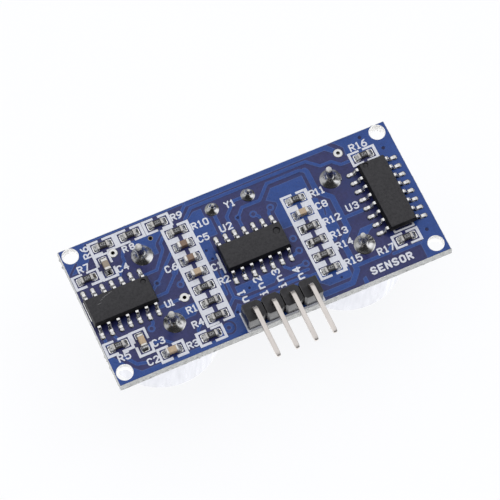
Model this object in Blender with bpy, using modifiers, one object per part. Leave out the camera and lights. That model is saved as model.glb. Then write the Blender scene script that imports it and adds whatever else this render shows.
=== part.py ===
"""Ultrasonic distance sensor: a small blue circuit board that lies face down on its two round
transducers, with its chips, resistors, capacitors and four-way pin header on the upper side.

Metres, +Z up. The origin is the centre of the module's footprint, on the surface that the
transducers' rims stand on. +X runs along the board and +Y points away from the pin header.
Everything hangs under one empty at the middle of the board's front face, the face that carries
the transducers, and places below are given from there: the transducers reach down from z = 0,
and the components stand on the board's rear face.
"""

from math import cos, pi, radians, sin

import bmesh
import bpy
from mathutils import Matrix, Vector

MM = 0.001

# Board. Its long and short edges are V-scored, which sets both faces back from the outline.
BOARD_LENGTH = 45.5 * MM
BOARD_WIDTH = 20.0 * MM
BOARD_THICK = 1.6 * MM
SCORE_DEPTH = 0.2 * MM
LAYOUT_X = -0.13 * MM
LAYOUT_Y = 0.17 * MM
REST_GAP = 0.02 * MM

# Screw holes at the corners, on a pattern of their own.
SCREW_HOLE_RADIUS = 1.0 * MM
SCREW_SPACING_X = 42.6 * MM
SCREW_SPACING_Y = 17.1 * MM

# Plated holes for leads.
TERMINAL_HOLE_RADIUS = 0.55 * MM
CRYSTAL_HOLE_RADIUS = 0.4 * MM
HEADER_HOLE_RADIUS = 0.5 * MM
TEST_HOLE_RADIUS = 0.22 * MM
LEAD_CLEARANCE = 0.03 * MM

# Transducers.
TRANSDUCER_SPACING = 26.1 * MM
CASE_RADIUS = 8.0 * MM
CASE_HEIGHT = 12.0 * MM
CASE_INNER_RADIUS = 7.45 * MM
SIDE_GAP = 0.05 * MM
LIP_INNER_RADIUS = 6.4 * MM
LIP_THICK = 0.5 * MM
TERMINAL_PITCH = 10.0 * MM
TERMINAL_RADIUS = 0.4 * MM
TERMINAL_RISE = 3.0 * MM
TERMINAL_LEAN = -0.3 * MM
TERMINAL_FOOT = 0.6 * MM
TERMINAL_SOLDER_RADIUS = 1.4 * MM
TERMINAL_SOLDER_HEIGHT = 1.3 * MM
RIM_ROUND = 0.4 * MM
BASE_TOP = -0.6 * MM
BASE_BOTTOM = -2.6 * MM
RIDGE_BOTTOM = -5.3 * MM
RIDGE_RADIUS = 3.6 * MM
RIDGE_HOLLOW_RADIUS = 2.8 * MM
JOIN = 0.4 * MM
CONE_RADIUS = 4.9 * MM
CONE_NECK_RADIUS = 1.5 * MM
CONE_DEPTH = 3.0 * MM
PLATE_RADIUS = 5.5 * MM
PLATE_THICK = 0.3 * MM
PIEZO_RADIUS = 4.2 * MM
PIEZO_THICK = 0.4 * MM
SCREEN_THICK = 0.3 * MM
SCREEN_PITCH = 1.8 * MM
SCREEN_BAR = 0.5 * MM

# Small outline packages, each pin a bent gull wing.
CHIP_WIDTH = 3.9 * MM
CHIP_TOP = 1.5 * MM
CHIP_BOTTOM = 0.2 * MM
CHIP_DRAFT = 0.2 * MM
PIN_PITCH = 1.27 * MM
PIN_WIDTH = 0.42 * MM
PIN_THICK = 0.2 * MM
PIN_REACH = 3.0 * MM
PIN_SHOULDER = 0.68 * MM
BODY_LENGTH_14 = 8.65 * MM
BODY_LENGTH_16 = 9.9 * MM

# Chip resistors and capacitors, 1.6 x 0.8 mm.
CHIP_PART_LENGTH = 1.6 * MM
CHIP_PART_WIDTH = 0.8 * MM
CHIP_PART_END = 0.34 * MM
CHIP_PART_LIFT = 0.05 * MM
RESISTOR_HEIGHT = 0.45 * MM
CAPACITOR_HEIGHT = 0.8 * MM
ROW_PITCH = 2.1 * MM
TOP_ROW_Y = 6.4 * MM

# Right-angle pin header.
HEADER_PITCH = 2.54 * MM
HEADER_DEPTH = 2.5 * MM
HEADER_HEIGHT = 2.5 * MM
HEADER_Y = -8.3 * MM
HEADER_NOTCH = 0.55 * MM
HEADER_WAYS = 4
HEADER_PIN_SIDE = 0.6 * MM
HEADER_PIN_RUN_Z = BOARD_THICK + 3.6 * MM
HEADER_PIN_TAIL = 1.4 * MM
HEADER_PIN_TIP_Y = -15.5 * MM
HEADER_PIN_BEND = 0.8 * MM

# Crystal, under the board between the transducers.
CRYSTAL_LENGTH = 11.0 * MM
CRYSTAL_WIDTH = 4.6 * MM
CRYSTAL_HEIGHT = 3.5 * MM
CRYSTAL_FLANGE = 0.4 * MM
CRYSTAL_FLANGE_REACH = 0.35 * MM
CRYSTAL_WALL = 0.25 * MM
CRYSTAL_BASE_THICK = 0.8 * MM
CRYSTAL_BLANK = (7.4 * MM, 1.9 * MM, 0.25 * MM)
CRYSTAL_BLANK_DROP = 0.5 * MM
CRYSTAL_Y = 7.4 * MM
CRYSTAL_PITCH = 4.95 * MM
CRYSTAL_LEAD_RADIUS = 0.22 * MM
CRYSTAL_LEAD_RISE = 1.25 * MM
CRYSTAL_SOLDER_RADIUS = 0.9 * MM
CRYSTAL_SOLDER_HEIGHT = 0.65 * MM

REAR = BOARD_THICK
FRONT = -CASE_HEIGHT
FULL_TURN = 2 * pi


# ---------------------------------------------------------------- scene, materials, helpers


def clear_scene():
    for obj in list(bpy.data.objects):
        bpy.data.objects.remove(obj, do_unlink=True)


def new_collection(name):
    collection = bpy.data.collections.new(name)
    bpy.context.scene.collection.children.link(collection)
    return collection


def new_material(name, colour, roughness, metallic=0.0):
    material = bpy.data.materials.new(name)
    material.use_nodes = True
    shader = material.node_tree.nodes["Principled BSDF"]
    shader.inputs["Base Color"].default_value = (*colour, 1.0)
    shader.inputs["Roughness"].default_value = roughness
    shader.inputs["Metallic"].default_value = metallic
    return material


clear_scene()
PARTS = new_collection("ultrasonic_distance_sensor")
CUTTERS = new_collection("cutters")

SOLDER_MASK = new_material("solder_mask", (0.03, 0.08, 0.35), 0.35)
CHIP_RESIN = new_material("chip_resin", (0.03, 0.03, 0.035), 0.5)
RESISTOR_BODY = new_material("resistor_body", (0.03, 0.03, 0.03), 0.35)
CAPACITOR_BODY = new_material("capacitor_body", (0.42, 0.31, 0.19), 0.45)
HEADER_PLASTIC = new_material("header_plastic", (0.03, 0.03, 0.03), 0.5)
PIN_METAL = new_material("pin_metal", (0.75, 0.68, 0.6), 0.3, 1.0)
SOLDER = new_material("solder", (0.7, 0.7, 0.7), 0.15, 1.0)
CASE_ALUMINIUM = new_material("case_aluminium", (0.8, 0.8, 0.82), 0.35, 1.0)
SCREEN_WIRE = new_material("screen_wire", (0.5, 0.5, 0.5), 0.35, 1.0)
CONE_ALUMINIUM = new_material("cone_aluminium", (0.8, 0.8, 0.8), 0.3, 1.0)
PLATE_BRASS = new_material("plate_brass", (0.75, 0.55, 0.25), 0.3, 1.0)
PIEZO_CERAMIC = new_material("piezo_ceramic", (0.6, 0.55, 0.45), 0.6)
BASE_PLASTIC = new_material("base_plastic", (0.05, 0.05, 0.05), 0.6)
CRYSTAL_STEEL = new_material("crystal_steel", (0.75, 0.75, 0.75), 0.25, 1.0)
QUARTZ = new_material("quartz", (0.85, 0.85, 0.82), 0.1)


def new_empty(name, location, parent=None):
    empty = bpy.data.objects.new(name, None)
    empty.location = location
    empty.parent = parent
    PARTS.objects.link(empty)
    return empty


def add_part(name, data, material, parent, location=(0, 0, 0)):
    """An object of the model, with its material, placed relative to its parent empty."""
    obj = bpy.data.objects.new(name, data)
    if not data.materials:
        data.materials.append(material)
    obj.parent = parent
    obj.location = location
    PARTS.objects.link(obj)
    return obj


def add_cutter(name, mesh, parent=None, location=(0, 0, 0)):
    obj = bpy.data.objects.new(name, mesh)
    obj.parent = parent
    obj.location = location
    obj.hide_render = True
    obj.display_type = "WIRE"
    CUTTERS.objects.link(obj)
    return obj


def apply_boolean(obj, other, operation):
    modifier = obj.modifiers.new(operation.lower(), "BOOLEAN")
    modifier.operation = operation
    modifier.solver = "EXACT"
    modifier.object = other


def mesh_from(name, build):
    """A mesh filled in by build(bm)."""
    bm = bmesh.new()
    build(bm)
    mesh = bpy.data.meshes.new(name)
    bm.to_mesh(mesh)
    bm.free()
    return mesh


def add_cylinder(bm, radius, low, high, segments, x=0.0, y=0.0):
    bmesh.ops.create_cone(
        bm,
        cap_ends=True,
        segments=segments,
        radius1=radius,
        radius2=radius,
        depth=high - low,
        matrix=Matrix.Translation((x, y, (low + high) / 2)),
    )


def add_box(bm, size, centre):
    made = bmesh.ops.create_cube(bm, size=1.0)
    bmesh.ops.scale(bm, vec=size, verts=made["verts"])
    bmesh.ops.translate(bm, vec=centre, verts=made["verts"])
    return made["verts"]


def is_upright(edge):
    return abs(edge.verts[0].co.z - edge.verts[1].co.z) > MM / 10


def disc_mesh(name, radius, low, high, segments):
    mesh = mesh_from(name, lambda bm: add_cylinder(bm, radius, low, high, segments))
    mesh.shade_smooth()
    mesh.set_sharp_from_angle(angle=radians(40))
    return mesh


def turned_ring(name, profile, segments, material, parent):
    """A ring turned about Z from a closed profile of (radius, z), going down its outer side."""

    def build(bm):
        corners = [bm.verts.new((radius, 0, z)) for radius, z in profile]
        for i, corner in enumerate(corners):
            bm.edges.new((corner, corners[(i + 1) % len(corners)]))

    obj = add_part(name, mesh_from(name, build), material, parent)
    screw = obj.modifiers.new("turn", "SCREW")
    screw.angle = FULL_TURN
    screw.steps = segments
    screw.render_steps = segments
    screw.use_smooth_shade = True
    return obj


def flat_curve(name, outlines, thickness):
    """A curve filled between its outlines, with a thickness that is centred on z = 0."""
    curve = bpy.data.curves.new(name, "CURVE")
    curve.dimensions = "2D"
    curve.fill_mode = "BOTH"
    curve.extrude = thickness / 2
    for outline in outlines:
        spline = curve.splines.new("POLY")
        spline.points.add(len(outline) - 1)
        for point, (x, y) in zip(spline.points, outline):
            point.co = (x, y, 0, 1)
        spline.use_cyclic_u = True
    return curve


def mesh_of_curve(curve):
    """The curve's closed mesh, with its caps welded to its sides."""
    holder = bpy.data.objects.new("holder", curve)
    bpy.context.scene.collection.objects.link(holder)
    graph = bpy.context.evaluated_depsgraph_get()
    mesh = bpy.data.meshes.new_from_object(holder.evaluated_get(graph))
    bpy.data.objects.remove(holder)
    bm = bmesh.new()
    bm.from_mesh(mesh)
    bmesh.ops.remove_doubles(bm, verts=bm.verts, dist=0.001 * MM)
    bmesh.ops.recalc_face_normals(bm, faces=bm.faces)
    bm.to_mesh(mesh)
    bm.free()
    return mesh


def wire_curve(name, points, radius, sides_resolution, tilt=0.0, radii=None):
    curve = bpy.data.curves.new(name, "CURVE")
    curve.dimensions = "3D"
    curve.twist_mode = "MINIMUM"
    curve.bevel_depth = radius
    curve.bevel_resolution = sides_resolution
    curve.use_fill_caps = True
    spline = curve.splines.new("POLY")
    spline.points.add(len(points) - 1)
    for i, place in enumerate(points):
        spline.points[i].co = (*place, 1)
        spline.points[i].tilt = tilt
        spline.points[i].radius = radii[i] if radii else 1.0
    return curve


def rounded_outline(length, width, steps):
    """An outline with straight sides along X and a half circle at each end."""
    radius = width / 2
    reach = length / 2 - radius
    points = []
    for side in (1, -1):
        for step in range(steps + 1):
            angle = -pi / 2 + pi * step / steps
            points.append((side * (reach + radius * cos(angle)), side * radius * sin(angle)))
    return points


# ---------------------------------------------------------------- places on the board

FOOTPRINT_MIDDLE_Y = (BOARD_WIDTH / 2 + HEADER_PIN_TIP_Y) / 2
MODULE = new_empty("module", (0, -FOOTPRINT_MIDDLE_Y, CASE_HEIGHT))
LAYOUT = new_empty("layout", (LAYOUT_X, LAYOUT_Y, 0), MODULE)
TERMINALS = [
    (side * TRANSDUCER_SPACING / 2, end * TERMINAL_PITCH / 2)
    for side in (-1, 1)
    for end in (-1, 1)
]
CRYSTAL_LEADS = [(side * CRYSTAL_PITCH / 2, CRYSTAL_Y - LAYOUT_Y) for side in (-1, 1)]
HEADER_PINS = [
    ((way - (HEADER_WAYS - 1) / 2) * HEADER_PITCH, HEADER_Y - LAYOUT_Y)
    for way in range(HEADER_WAYS)
]
SCREW_HOLES = [
    (side * SCREW_SPACING_X / 2, end * SCREW_SPACING_Y / 2) for side in (-1, 1) for end in (-1, 1)
]
TEST_HOLES = [
    (-16.26 * MM, 6.8 * MM),
    (-10.54 * MM, -2.41 * MM),
    (15.46 * MM, 7.89 * MM),
    (-11.15 * MM, 6.74 * MM),
]

# Name, x, y and whether the part stands across the board, from the board's outline centre.
LEFT_COLUMN_X = -7.89 * MM
RIGHT_COLUMN_X = 7.58 * MM
LEFT_COLUMN = ("r10", "c5", "c6", "c1", "r2", "r1", "r4")
RIGHT_COLUMN = ("r11", "c8", "r12", "r13", "r14", "r15")
SCATTERED = (
    ("r6", -17.18 * MM, 8.38 * MM, False),
    ("r8", -13.5 * MM, 8.38 * MM, False),
    ("r9", -9.72 * MM, 8.38 * MM, False),
    ("r7", -20.77 * MM, 4.95 * MM, False),
    ("c4", -17.89 * MM, 5.62 * MM, True),
    ("r5", -20.77 * MM, -4.88 * MM, False),
    ("c3", -17.89 * MM, -5.61 * MM, True),
    ("c2", -14.99 * MM, -8.24 * MM, False),
    ("r3", -9.72 * MM, -8.24 * MM, False),
    ("r16", 18.13 * MM, 6.4 * MM, False),
    ("r17", 18.13 * MM, -6.2 * MM, False),
)


# ---------------------------------------------------------------- circuit board


def build_board():
    def blank(bm):
        add_box(bm, (BOARD_LENGTH, BOARD_WIDTH, BOARD_THICK), (0, 0, BOARD_THICK / 2))
        rims = [edge for edge in bm.edges if not is_upright(edge)]
        bmesh.ops.bevel(bm, geom=rims, offset=SCORE_DEPTH, segments=1, affect="EDGES")

    board = add_part("circuit_board", mesh_from("circuit_board", blank), SOLDER_MASK, MODULE)

    def holes(bm):
        low, high = -MM, BOARD_THICK + MM
        for x, y in SCREW_HOLES:
            add_cylinder(bm, SCREW_HOLE_RADIUS, low, high, 24, x, y)
        for x, y in TERMINALS:
            add_cylinder(bm, TERMINAL_HOLE_RADIUS, low, high, 12, x, y)
        for x, y in CRYSTAL_LEADS:
            add_cylinder(bm, CRYSTAL_HOLE_RADIUS, low, high, 10, x, y)
        for x, y in HEADER_PINS:
            add_cylinder(bm, HEADER_HOLE_RADIUS, low, high, 12, x, y)
        for x, y in TEST_HOLES:
            add_cylinder(bm, TEST_HOLE_RADIUS, low, high, 8, x, y)

    cutter = add_cutter("board_holes", mesh_from("board_holes", holes), LAYOUT)
    apply_boolean(board, cutter, "DIFFERENCE")


# ---------------------------------------------------------------- transducers


def screen_meshes():
    """The grille's disc, and the square openings that are cut from it."""
    low = FRONT + LIP_THICK + REST_GAP
    high = low + SCREEN_THICK
    opening = SCREEN_PITCH - SCREEN_BAR
    limit = LIP_INNER_RADIUS - 0.1 * MM

    def openings(bm):
        count = int(limit / SCREEN_PITCH)
        for i in range(-count, count + 1):
            for j in range(-count, count + 1):
                x, y = i * SCREEN_PITCH, j * SCREEN_PITCH
                corner = Vector((abs(x) + opening / 2, abs(y) + opening / 2))
                if corner.length < limit:
                    add_box(bm, (opening, opening, 3 * SCREEN_THICK), (x, y, (low + high) / 2))

    disc = disc_mesh("screen", CASE_INNER_RADIUS - SIDE_GAP, low, high, 36)
    return disc, mesh_from("screen_openings", openings)


def build_transducer(kind, side):
    centre = new_empty(kind, (side * TRANSDUCER_SPACING / 2, 0, 0), LAYOUT)
    turned_ring(
        f"{kind}_case",
        [
            (CASE_RADIUS, -REST_GAP),
            (CASE_RADIUS, FRONT + RIM_ROUND),
            (CASE_RADIUS - 0.3 * RIM_ROUND, FRONT + 0.3 * RIM_ROUND),
            (CASE_RADIUS - RIM_ROUND, FRONT),
            (LIP_INNER_RADIUS, FRONT),
            (LIP_INNER_RADIUS, FRONT + LIP_THICK),
            (CASE_INNER_RADIUS, FRONT + LIP_THICK),
            (CASE_INNER_RADIUS, -REST_GAP),
        ],
        36,
        CASE_ALUMINIUM,
        centre,
    )

    screen, openings = SCREEN
    grille = add_part(f"{kind}_screen", screen, SCREEN_WIRE, centre)
    apply_boolean(grille, add_cutter(f"{kind}_screen_openings", openings, centre), "DIFFERENCE")

    def base(bm):
        add_cylinder(bm, CASE_INNER_RADIUS - SIDE_GAP, BASE_BOTTOM, BASE_TOP, 36)

    def ridge(bm):
        add_cylinder(bm, RIDGE_RADIUS, RIDGE_BOTTOM, BASE_BOTTOM + JOIN, 24)

    def base_holes(bm):
        add_cylinder(bm, RIDGE_HOLLOW_RADIUS, RIDGE_BOTTOM - MM, BASE_BOTTOM, 24)
        for end in (-1, 1):
            y = end * TERMINAL_PITCH / 2
            add_cylinder(bm, TERMINAL_RADIUS + LEAD_CLEARANCE, BASE_BOTTOM - MM, MM, 12, 0, y)

    plug = add_part(f"{kind}_base", mesh_from(f"{kind}_base", base), BASE_PLASTIC, centre)
    support = add_cutter(f"{kind}_ridge", mesh_from("ridge", ridge), centre)
    apply_boolean(plug, support, "UNION")
    cutter = add_cutter(f"{kind}_base_holes", mesh_from("base_holes", base_holes), centre)
    apply_boolean(plug, cutter, "DIFFERENCE")

    piezo_high = RIDGE_BOTTOM - REST_GAP
    piezo_low = piezo_high - PIEZO_THICK
    plate_high = piezo_low - REST_GAP
    plate_low = plate_high - PLATE_THICK
    piezo = disc_mesh(f"{kind}_piezo_disc", PIEZO_RADIUS, piezo_low, piezo_high, 28)
    add_part(f"{kind}_piezo_disc", piezo, PIEZO_CERAMIC, centre)
    plate = disc_mesh(f"{kind}_metal_plate", PLATE_RADIUS, plate_low, plate_high, 28)
    add_part(f"{kind}_metal_plate", plate, PLATE_BRASS, centre)

    neck = plate_low - REST_GAP
    rim = neck - CONE_DEPTH
    wall = 0.2 * MM
    eye_radius = 0.4 * CONE_NECK_RADIUS
    turned_ring(
        f"{kind}_cone",
        [
            (CONE_NECK_RADIUS, neck),
            (CONE_NECK_RADIUS, neck - 1.5 * wall),
            (CONE_RADIUS, rim + wall),
            (CONE_RADIUS, rim),
            (eye_radius + 2 * wall, neck - 2.75 * wall),
            (eye_radius, neck - 2.75 * wall),
            (eye_radius, neck),
        ],
        28,
        CONE_ALUMINIUM,
        centre,
    )

    for number, end in ((1, -1), (2, 1)):
        y = end * TERMINAL_PITCH / 2
        points = [
            (0, y, BASE_BOTTOM - TERMINAL_FOOT),
            (0, y, REAR + TERMINAL_RISE / 2),
            (TERMINAL_LEAN, y, REAR + TERMINAL_RISE),
        ]
        name = f"{kind}_terminal_{number}"
        add_part(name, wire_curve(name, points, TERMINAL_RADIUS, 1), PIN_METAL, centre)
        size = (TERMINAL_SOLDER_RADIUS, TERMINAL_SOLDER_HEIGHT, TERMINAL_RADIUS)
        build_solder(f"{kind}_solder_{number}", size, centre, (0, y, REAR))


def build_solder(name, size, parent, place):
    """A solder joint: a hollow-sided cone that is drawn up around its pin."""
    radius, height, pin_radius = size
    bore = pin_radius + REST_GAP
    slope = [
        (radius, 0.0),
        (radius * 0.94, 0.12),
        (radius * 0.66, 0.4),
        (bore + 0.18 * MM, 0.75),
        (bore + 0.08 * MM, 1.0),
    ]
    profile = [(r, REST_GAP + share * height) for r, share in reversed(slope)]
    profile += [(bore, REST_GAP), (bore, REST_GAP + height)]
    joint = turned_ring(name, profile, 16, SOLDER, parent)
    joint.location = place


# ---------------------------------------------------------------- chips


def build_chip(name, pins_per_side, length, x, y, angle):
    def body(bm):
        middle = CHIP_BOTTOM + (CHIP_TOP - CHIP_BOTTOM) * 0.45
        height = CHIP_TOP - CHIP_BOTTOM
        add_box(bm, (length, CHIP_WIDTH, height), (0, 0, CHIP_BOTTOM + height / 2))
        uprights = [edge for edge in bm.edges if is_upright(edge)]
        bmesh.ops.subdivide_edges(bm, edges=uprights, cuts=1)
        for vert in bm.verts:
            if CHIP_BOTTOM + MM / 10 < vert.co.z < CHIP_TOP - MM / 10:
                vert.co.z = middle
            else:
                vert.co.x -= CHIP_DRAFT * (1 if vert.co.x > 0 else -1) * 0.6
                vert.co.y -= CHIP_DRAFT * (1 if vert.co.y > 0 else -1)

    def lead_outline():
        """Gull wing from inside the body out to the foot, as (distance from the middle, height)."""
        inner = CHIP_WIDTH / 2 - 1.5 * PIN_THICK
        shoulder = CHIP_WIDTH / 2 + 1.2 * PIN_THICK
        heel = shoulder + 0.8 * PIN_THICK
        bend = 0.85 * PIN_THICK
        low = 1.5 * REST_GAP
        return [
            (inner, PIN_SHOULDER),
            (shoulder, PIN_SHOULDER),
            (heel, low),
            (PIN_REACH, low),
            (PIN_REACH, low + PIN_THICK),
            (heel + bend, low + PIN_THICK),
            (shoulder + bend, PIN_SHOULDER + PIN_THICK),
            (inner, PIN_SHOULDER + PIN_THICK),
        ]

    lead = mesh_of_curve(flat_curve("lead", [lead_outline()], PIN_WIDTH))

    def leads(bm):
        for side in (0, 1):
            for i in range(pins_per_side):
                along = (i - (pins_per_side - 1) / 2) * PIN_PITCH
                first = len(bm.verts)
                bm.from_mesh(lead)
                bm.verts.ensure_lookup_table()
                place = (
                    Matrix.Rotation(side * pi, 4, "Z")
                    @ Matrix.Translation((along, 0, 0))
                    @ Matrix.Rotation(pi / 2, 4, "Z")
                    @ Matrix.Rotation(pi / 2, 4, "X")
                )
                bmesh.ops.transform(bm, matrix=place, verts=bm.verts[first:])

    chip = add_part(name, mesh_from(name, body), CHIP_RESIN, MODULE, (x, y, REAR))
    chip.rotation_euler.z = angle
    pins = add_cutter(f"{name}_leads", mesh_from(f"{name}_leads", leads), chip)
    apply_boolean(chip, pins, "UNION")


# ---------------------------------------------------------------- resistors and capacitors


def chip_part_mesh(name, height):
    """The side view of a chip resistor or capacitor, whose metal ends stand a little proud."""
    half = CHIP_PART_LENGTH / 2
    inner = half - CHIP_PART_END
    step = 0.03 * MM
    low, high = CHIP_PART_LIFT, CHIP_PART_LIFT + height
    outline = [
        (-half, low),
        (-inner, low),
        (-inner, low + step),
        (inner, low + step),
        (inner, low),
        (half, low),
        (half, high),
        (inner, high),
        (inner, high - step),
        (-inner, high - step),
        (-inner, high),
        (-half, high),
    ]
    mesh = mesh_of_curve(flat_curve(name, [outline], CHIP_PART_WIDTH))
    mesh.transform(Matrix.Rotation(pi / 2, 4, "X"))
    return mesh


def build_chip_parts():
    meshes = {
        "r": (chip_part_mesh("resistor", RESISTOR_HEIGHT), RESISTOR_BODY, "resistor"),
        "c": (chip_part_mesh("capacitor", CAPACITOR_HEIGHT), CAPACITOR_BODY, "capacitor"),
    }
    places = list(SCATTERED)
    for row, mark in enumerate(LEFT_COLUMN):
        places.append((mark, LEFT_COLUMN_X, TOP_ROW_Y - row * ROW_PITCH, False))
    for row, mark in enumerate(RIGHT_COLUMN, start=1):
        places.append((mark, RIGHT_COLUMN_X, TOP_ROW_Y - row * ROW_PITCH, False))
    for mark, x, y, across in places:
        mesh, material, kind = meshes[mark[0]]
        part = add_part(f"{kind}_{mark}", mesh, material, MODULE, (x, y, REAR))
        part.rotation_euler.z = pi / 2 if across else 0.0


# ---------------------------------------------------------------- pin header


def build_header():
    half = HEADER_PITCH / 2
    depth = HEADER_DEPTH / 2
    hole = HEADER_PIN_SIDE / 2 + LEAD_CLEARANCE
    centres = [x for x, y in HEADER_PINS]
    front = []
    for x in centres:
        front += [
            (x - half, -depth + HEADER_NOTCH),
            (x - half + HEADER_NOTCH, -depth),
            (x + half - HEADER_NOTCH, -depth),
        ]
    front.append((centres[-1] + half, -depth + HEADER_NOTCH))
    rear = [(-x, -y) for x, y in front]
    outlines = [front + rear]
    for x in centres:
        outlines.append([(x - hole, -hole), (x + hole, -hole), (x + hole, hole), (x - hole, hole)])
    strip = flat_curve("header_housing", outlines, HEADER_HEIGHT)
    place = (0, HEADER_Y - LAYOUT_Y, REAR + REST_GAP + HEADER_HEIGHT / 2)
    add_part("header_housing", strip, HEADER_PLASTIC, LAYOUT, place)

    corner = HEADER_PIN_SIDE / 2**0.5
    tip_length = 0.5 * MM
    tip_share = 0.5
    tip_y = HEADER_PIN_TIP_Y - LAYOUT_Y
    bend_steps = 5
    for number, (x, y) in enumerate(HEADER_PINS, start=1):
        points = [(x, y, -HEADER_PIN_TAIL), (x, y, -HEADER_PIN_TAIL + tip_length)]
        for step in range(bend_steps + 1):
            angle = pi / 2 * step / bend_steps
            points.append(
                (
                    x,
                    y - HEADER_PIN_BEND * (1 - cos(angle)),
                    HEADER_PIN_RUN_Z - HEADER_PIN_BEND * (1 - sin(angle)),
                )
            )
        points += [(x, tip_y + tip_length, HEADER_PIN_RUN_Z), (x, tip_y, HEADER_PIN_RUN_Z)]
        radii = [tip_share] + [1.0] * (len(points) - 2) + [tip_share]
        name = f"header_pin_{number}"
        pin = wire_curve(name, points, corner, 0, pi / 4, radii)
        add_part(name, pin, PIN_METAL, LAYOUT)


# ---------------------------------------------------------------- crystal


def build_crystal():
    centre = new_empty("crystal", (0, CRYSTAL_Y - LAYOUT_Y, 0), LAYOUT)
    arc_steps = 7
    wall_length = CRYSTAL_LENGTH - 2 * CRYSTAL_FLANGE_REACH
    wall_width = CRYSTAL_WIDTH - 2 * CRYSTAL_FLANGE_REACH
    inner_length = wall_length - 2 * CRYSTAL_WALL
    inner_width = wall_width - 2 * CRYSTAL_WALL
    top = -REST_GAP

    def slab(name, length, width, low, high):
        curve = flat_curve(name, [rounded_outline(length, width, arc_steps)], high - low)
        mesh = mesh_of_curve(curve)
        mesh.transform(Matrix.Translation((0, 0, (low + high) / 2)))
        return mesh

    flange_low = top - CRYSTAL_FLANGE
    flange = slab("crystal_flange", CRYSTAL_LENGTH, CRYSTAL_WIDTH, flange_low, top)
    can = add_part("crystal_can", flange, CRYSTAL_STEEL, centre)
    can_low = -CRYSTAL_HEIGHT
    drawn = slab("crystal_wall", wall_length, wall_width, can_low, top - CRYSTAL_FLANGE / 2)
    hollow = slab("crystal_hollow", inner_length, inner_width, can_low + CRYSTAL_WALL, MM)
    apply_boolean(can, add_cutter("crystal_wall", drawn, centre), "UNION")
    apply_boolean(can, add_cutter("crystal_hollow", hollow, centre), "DIFFERENCE")

    base_low = top - CRYSTAL_BASE_THICK
    base = slab("crystal_base", inner_length - SIDE_GAP, inner_width - SIDE_GAP, base_low, top)
    plate = add_part("crystal_base", base, CRYSTAL_STEEL, centre)

    def lead_holes(bm):
        for side in (-1, 1):
            x = side * CRYSTAL_PITCH / 2
            add_cylinder(bm, CRYSTAL_LEAD_RADIUS + LEAD_CLEARANCE, -2 * MM, MM, 10, x, 0)

    holes = add_cutter("crystal_lead_holes", mesh_from("crystal_lead_holes", lead_holes), centre)
    apply_boolean(plate, holes, "DIFFERENCE")

    blank_high = base_low - CRYSTAL_BLANK_DROP

    def strip(bm):
        thick = CRYSTAL_BLANK[2]
        add_box(bm, CRYSTAL_BLANK, (0, 0, blank_high - thick / 2))
        bmesh.ops.bevel(bm, geom=bm.edges[:], offset=thick / 5, segments=1, affect="EDGES")

    add_part("crystal_quartz_blank", mesh_from("crystal_quartz_blank", strip), QUARTZ, centre)

    for number, side in ((1, -1), (2, 1)):
        x = side * CRYSTAL_PITCH / 2
        points = [(x, 0, blank_high + REST_GAP), (x, 0, REAR + CRYSTAL_LEAD_RISE)]
        name = f"crystal_lead_{number}"
        add_part(name, wire_curve(name, points, CRYSTAL_LEAD_RADIUS, 1), PIN_METAL, centre)
        size = (CRYSTAL_SOLDER_RADIUS, CRYSTAL_SOLDER_HEIGHT, CRYSTAL_LEAD_RADIUS)
        build_solder(f"crystal_solder_{number}", size, centre, (x, 0, REAR))


# ---------------------------------------------------------------- assembly

SCREEN = screen_meshes()
build_board()
build_transducer("receiver", -1)
build_transducer("transmitter", 1)
build_chip("amplifier_chip", 7, BODY_LENGTH_14, -18.2 * MM, 0.17 * MM, 0.0)
build_chip("controller_chip", 7, BODY_LENGTH_14, -0.08 * MM, 0.17 * MM, 0.0)
build_chip("driver_chip", 8, BODY_LENGTH_16, 18.37 * MM, 0.12 * MM, pi / 2)
build_chip_parts()
build_header()
build_crystal()
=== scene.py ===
"""Looks of the ultrasonic distance sensor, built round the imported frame.

Everything is modelled in board millimetres: x along the board, y away from the pin header and z
up from the board's component face, with zero at the middle of that face. TO_FRAME carries them
into the frame's metres. The transducers and the crystal hang under the board.
"""

from math import cos, hypot, pi, radians, sin, sqrt

import bmesh
import bpy
import numpy as np
from mathutils import Matrix, Vector, noise
from mathutils.geometry import delaunay_2d_cdt


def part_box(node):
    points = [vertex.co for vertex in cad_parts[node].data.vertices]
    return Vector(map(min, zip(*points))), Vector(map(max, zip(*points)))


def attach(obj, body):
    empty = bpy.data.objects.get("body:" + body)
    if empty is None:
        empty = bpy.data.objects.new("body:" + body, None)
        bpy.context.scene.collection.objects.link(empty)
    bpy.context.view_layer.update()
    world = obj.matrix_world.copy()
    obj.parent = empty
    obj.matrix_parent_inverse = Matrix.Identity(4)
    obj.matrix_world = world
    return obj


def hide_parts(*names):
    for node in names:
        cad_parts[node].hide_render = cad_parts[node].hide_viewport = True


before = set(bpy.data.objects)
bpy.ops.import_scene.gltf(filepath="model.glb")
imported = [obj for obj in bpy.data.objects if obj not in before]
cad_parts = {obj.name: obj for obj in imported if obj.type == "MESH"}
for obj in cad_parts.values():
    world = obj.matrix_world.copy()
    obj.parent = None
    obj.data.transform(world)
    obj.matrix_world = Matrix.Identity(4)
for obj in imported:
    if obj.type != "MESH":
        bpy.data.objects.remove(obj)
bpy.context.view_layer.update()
MM = 0.001

BOARD_LOW, BOARD_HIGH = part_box("circuit_board")
ORIGIN = Vector(
    ((BOARD_LOW.x + BOARD_HIGH.x) / 2, (BOARD_LOW.y + BOARD_HIGH.y) / 2, BOARD_HIGH.z)
)
TO_FRAME = Matrix.Translation(ORIGIN) @ Matrix.Scale(MM, 4)
HALF_X = (BOARD_HIGH.x - BOARD_LOW.x) / MM / 2
HALF_Y = (BOARD_HIGH.y - BOARD_LOW.y) / MM / 2
BOARD_THICK = (BOARD_HIGH.z - BOARD_LOW.z) / MM
FRONT_FACE = -BOARD_THICK


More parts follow.
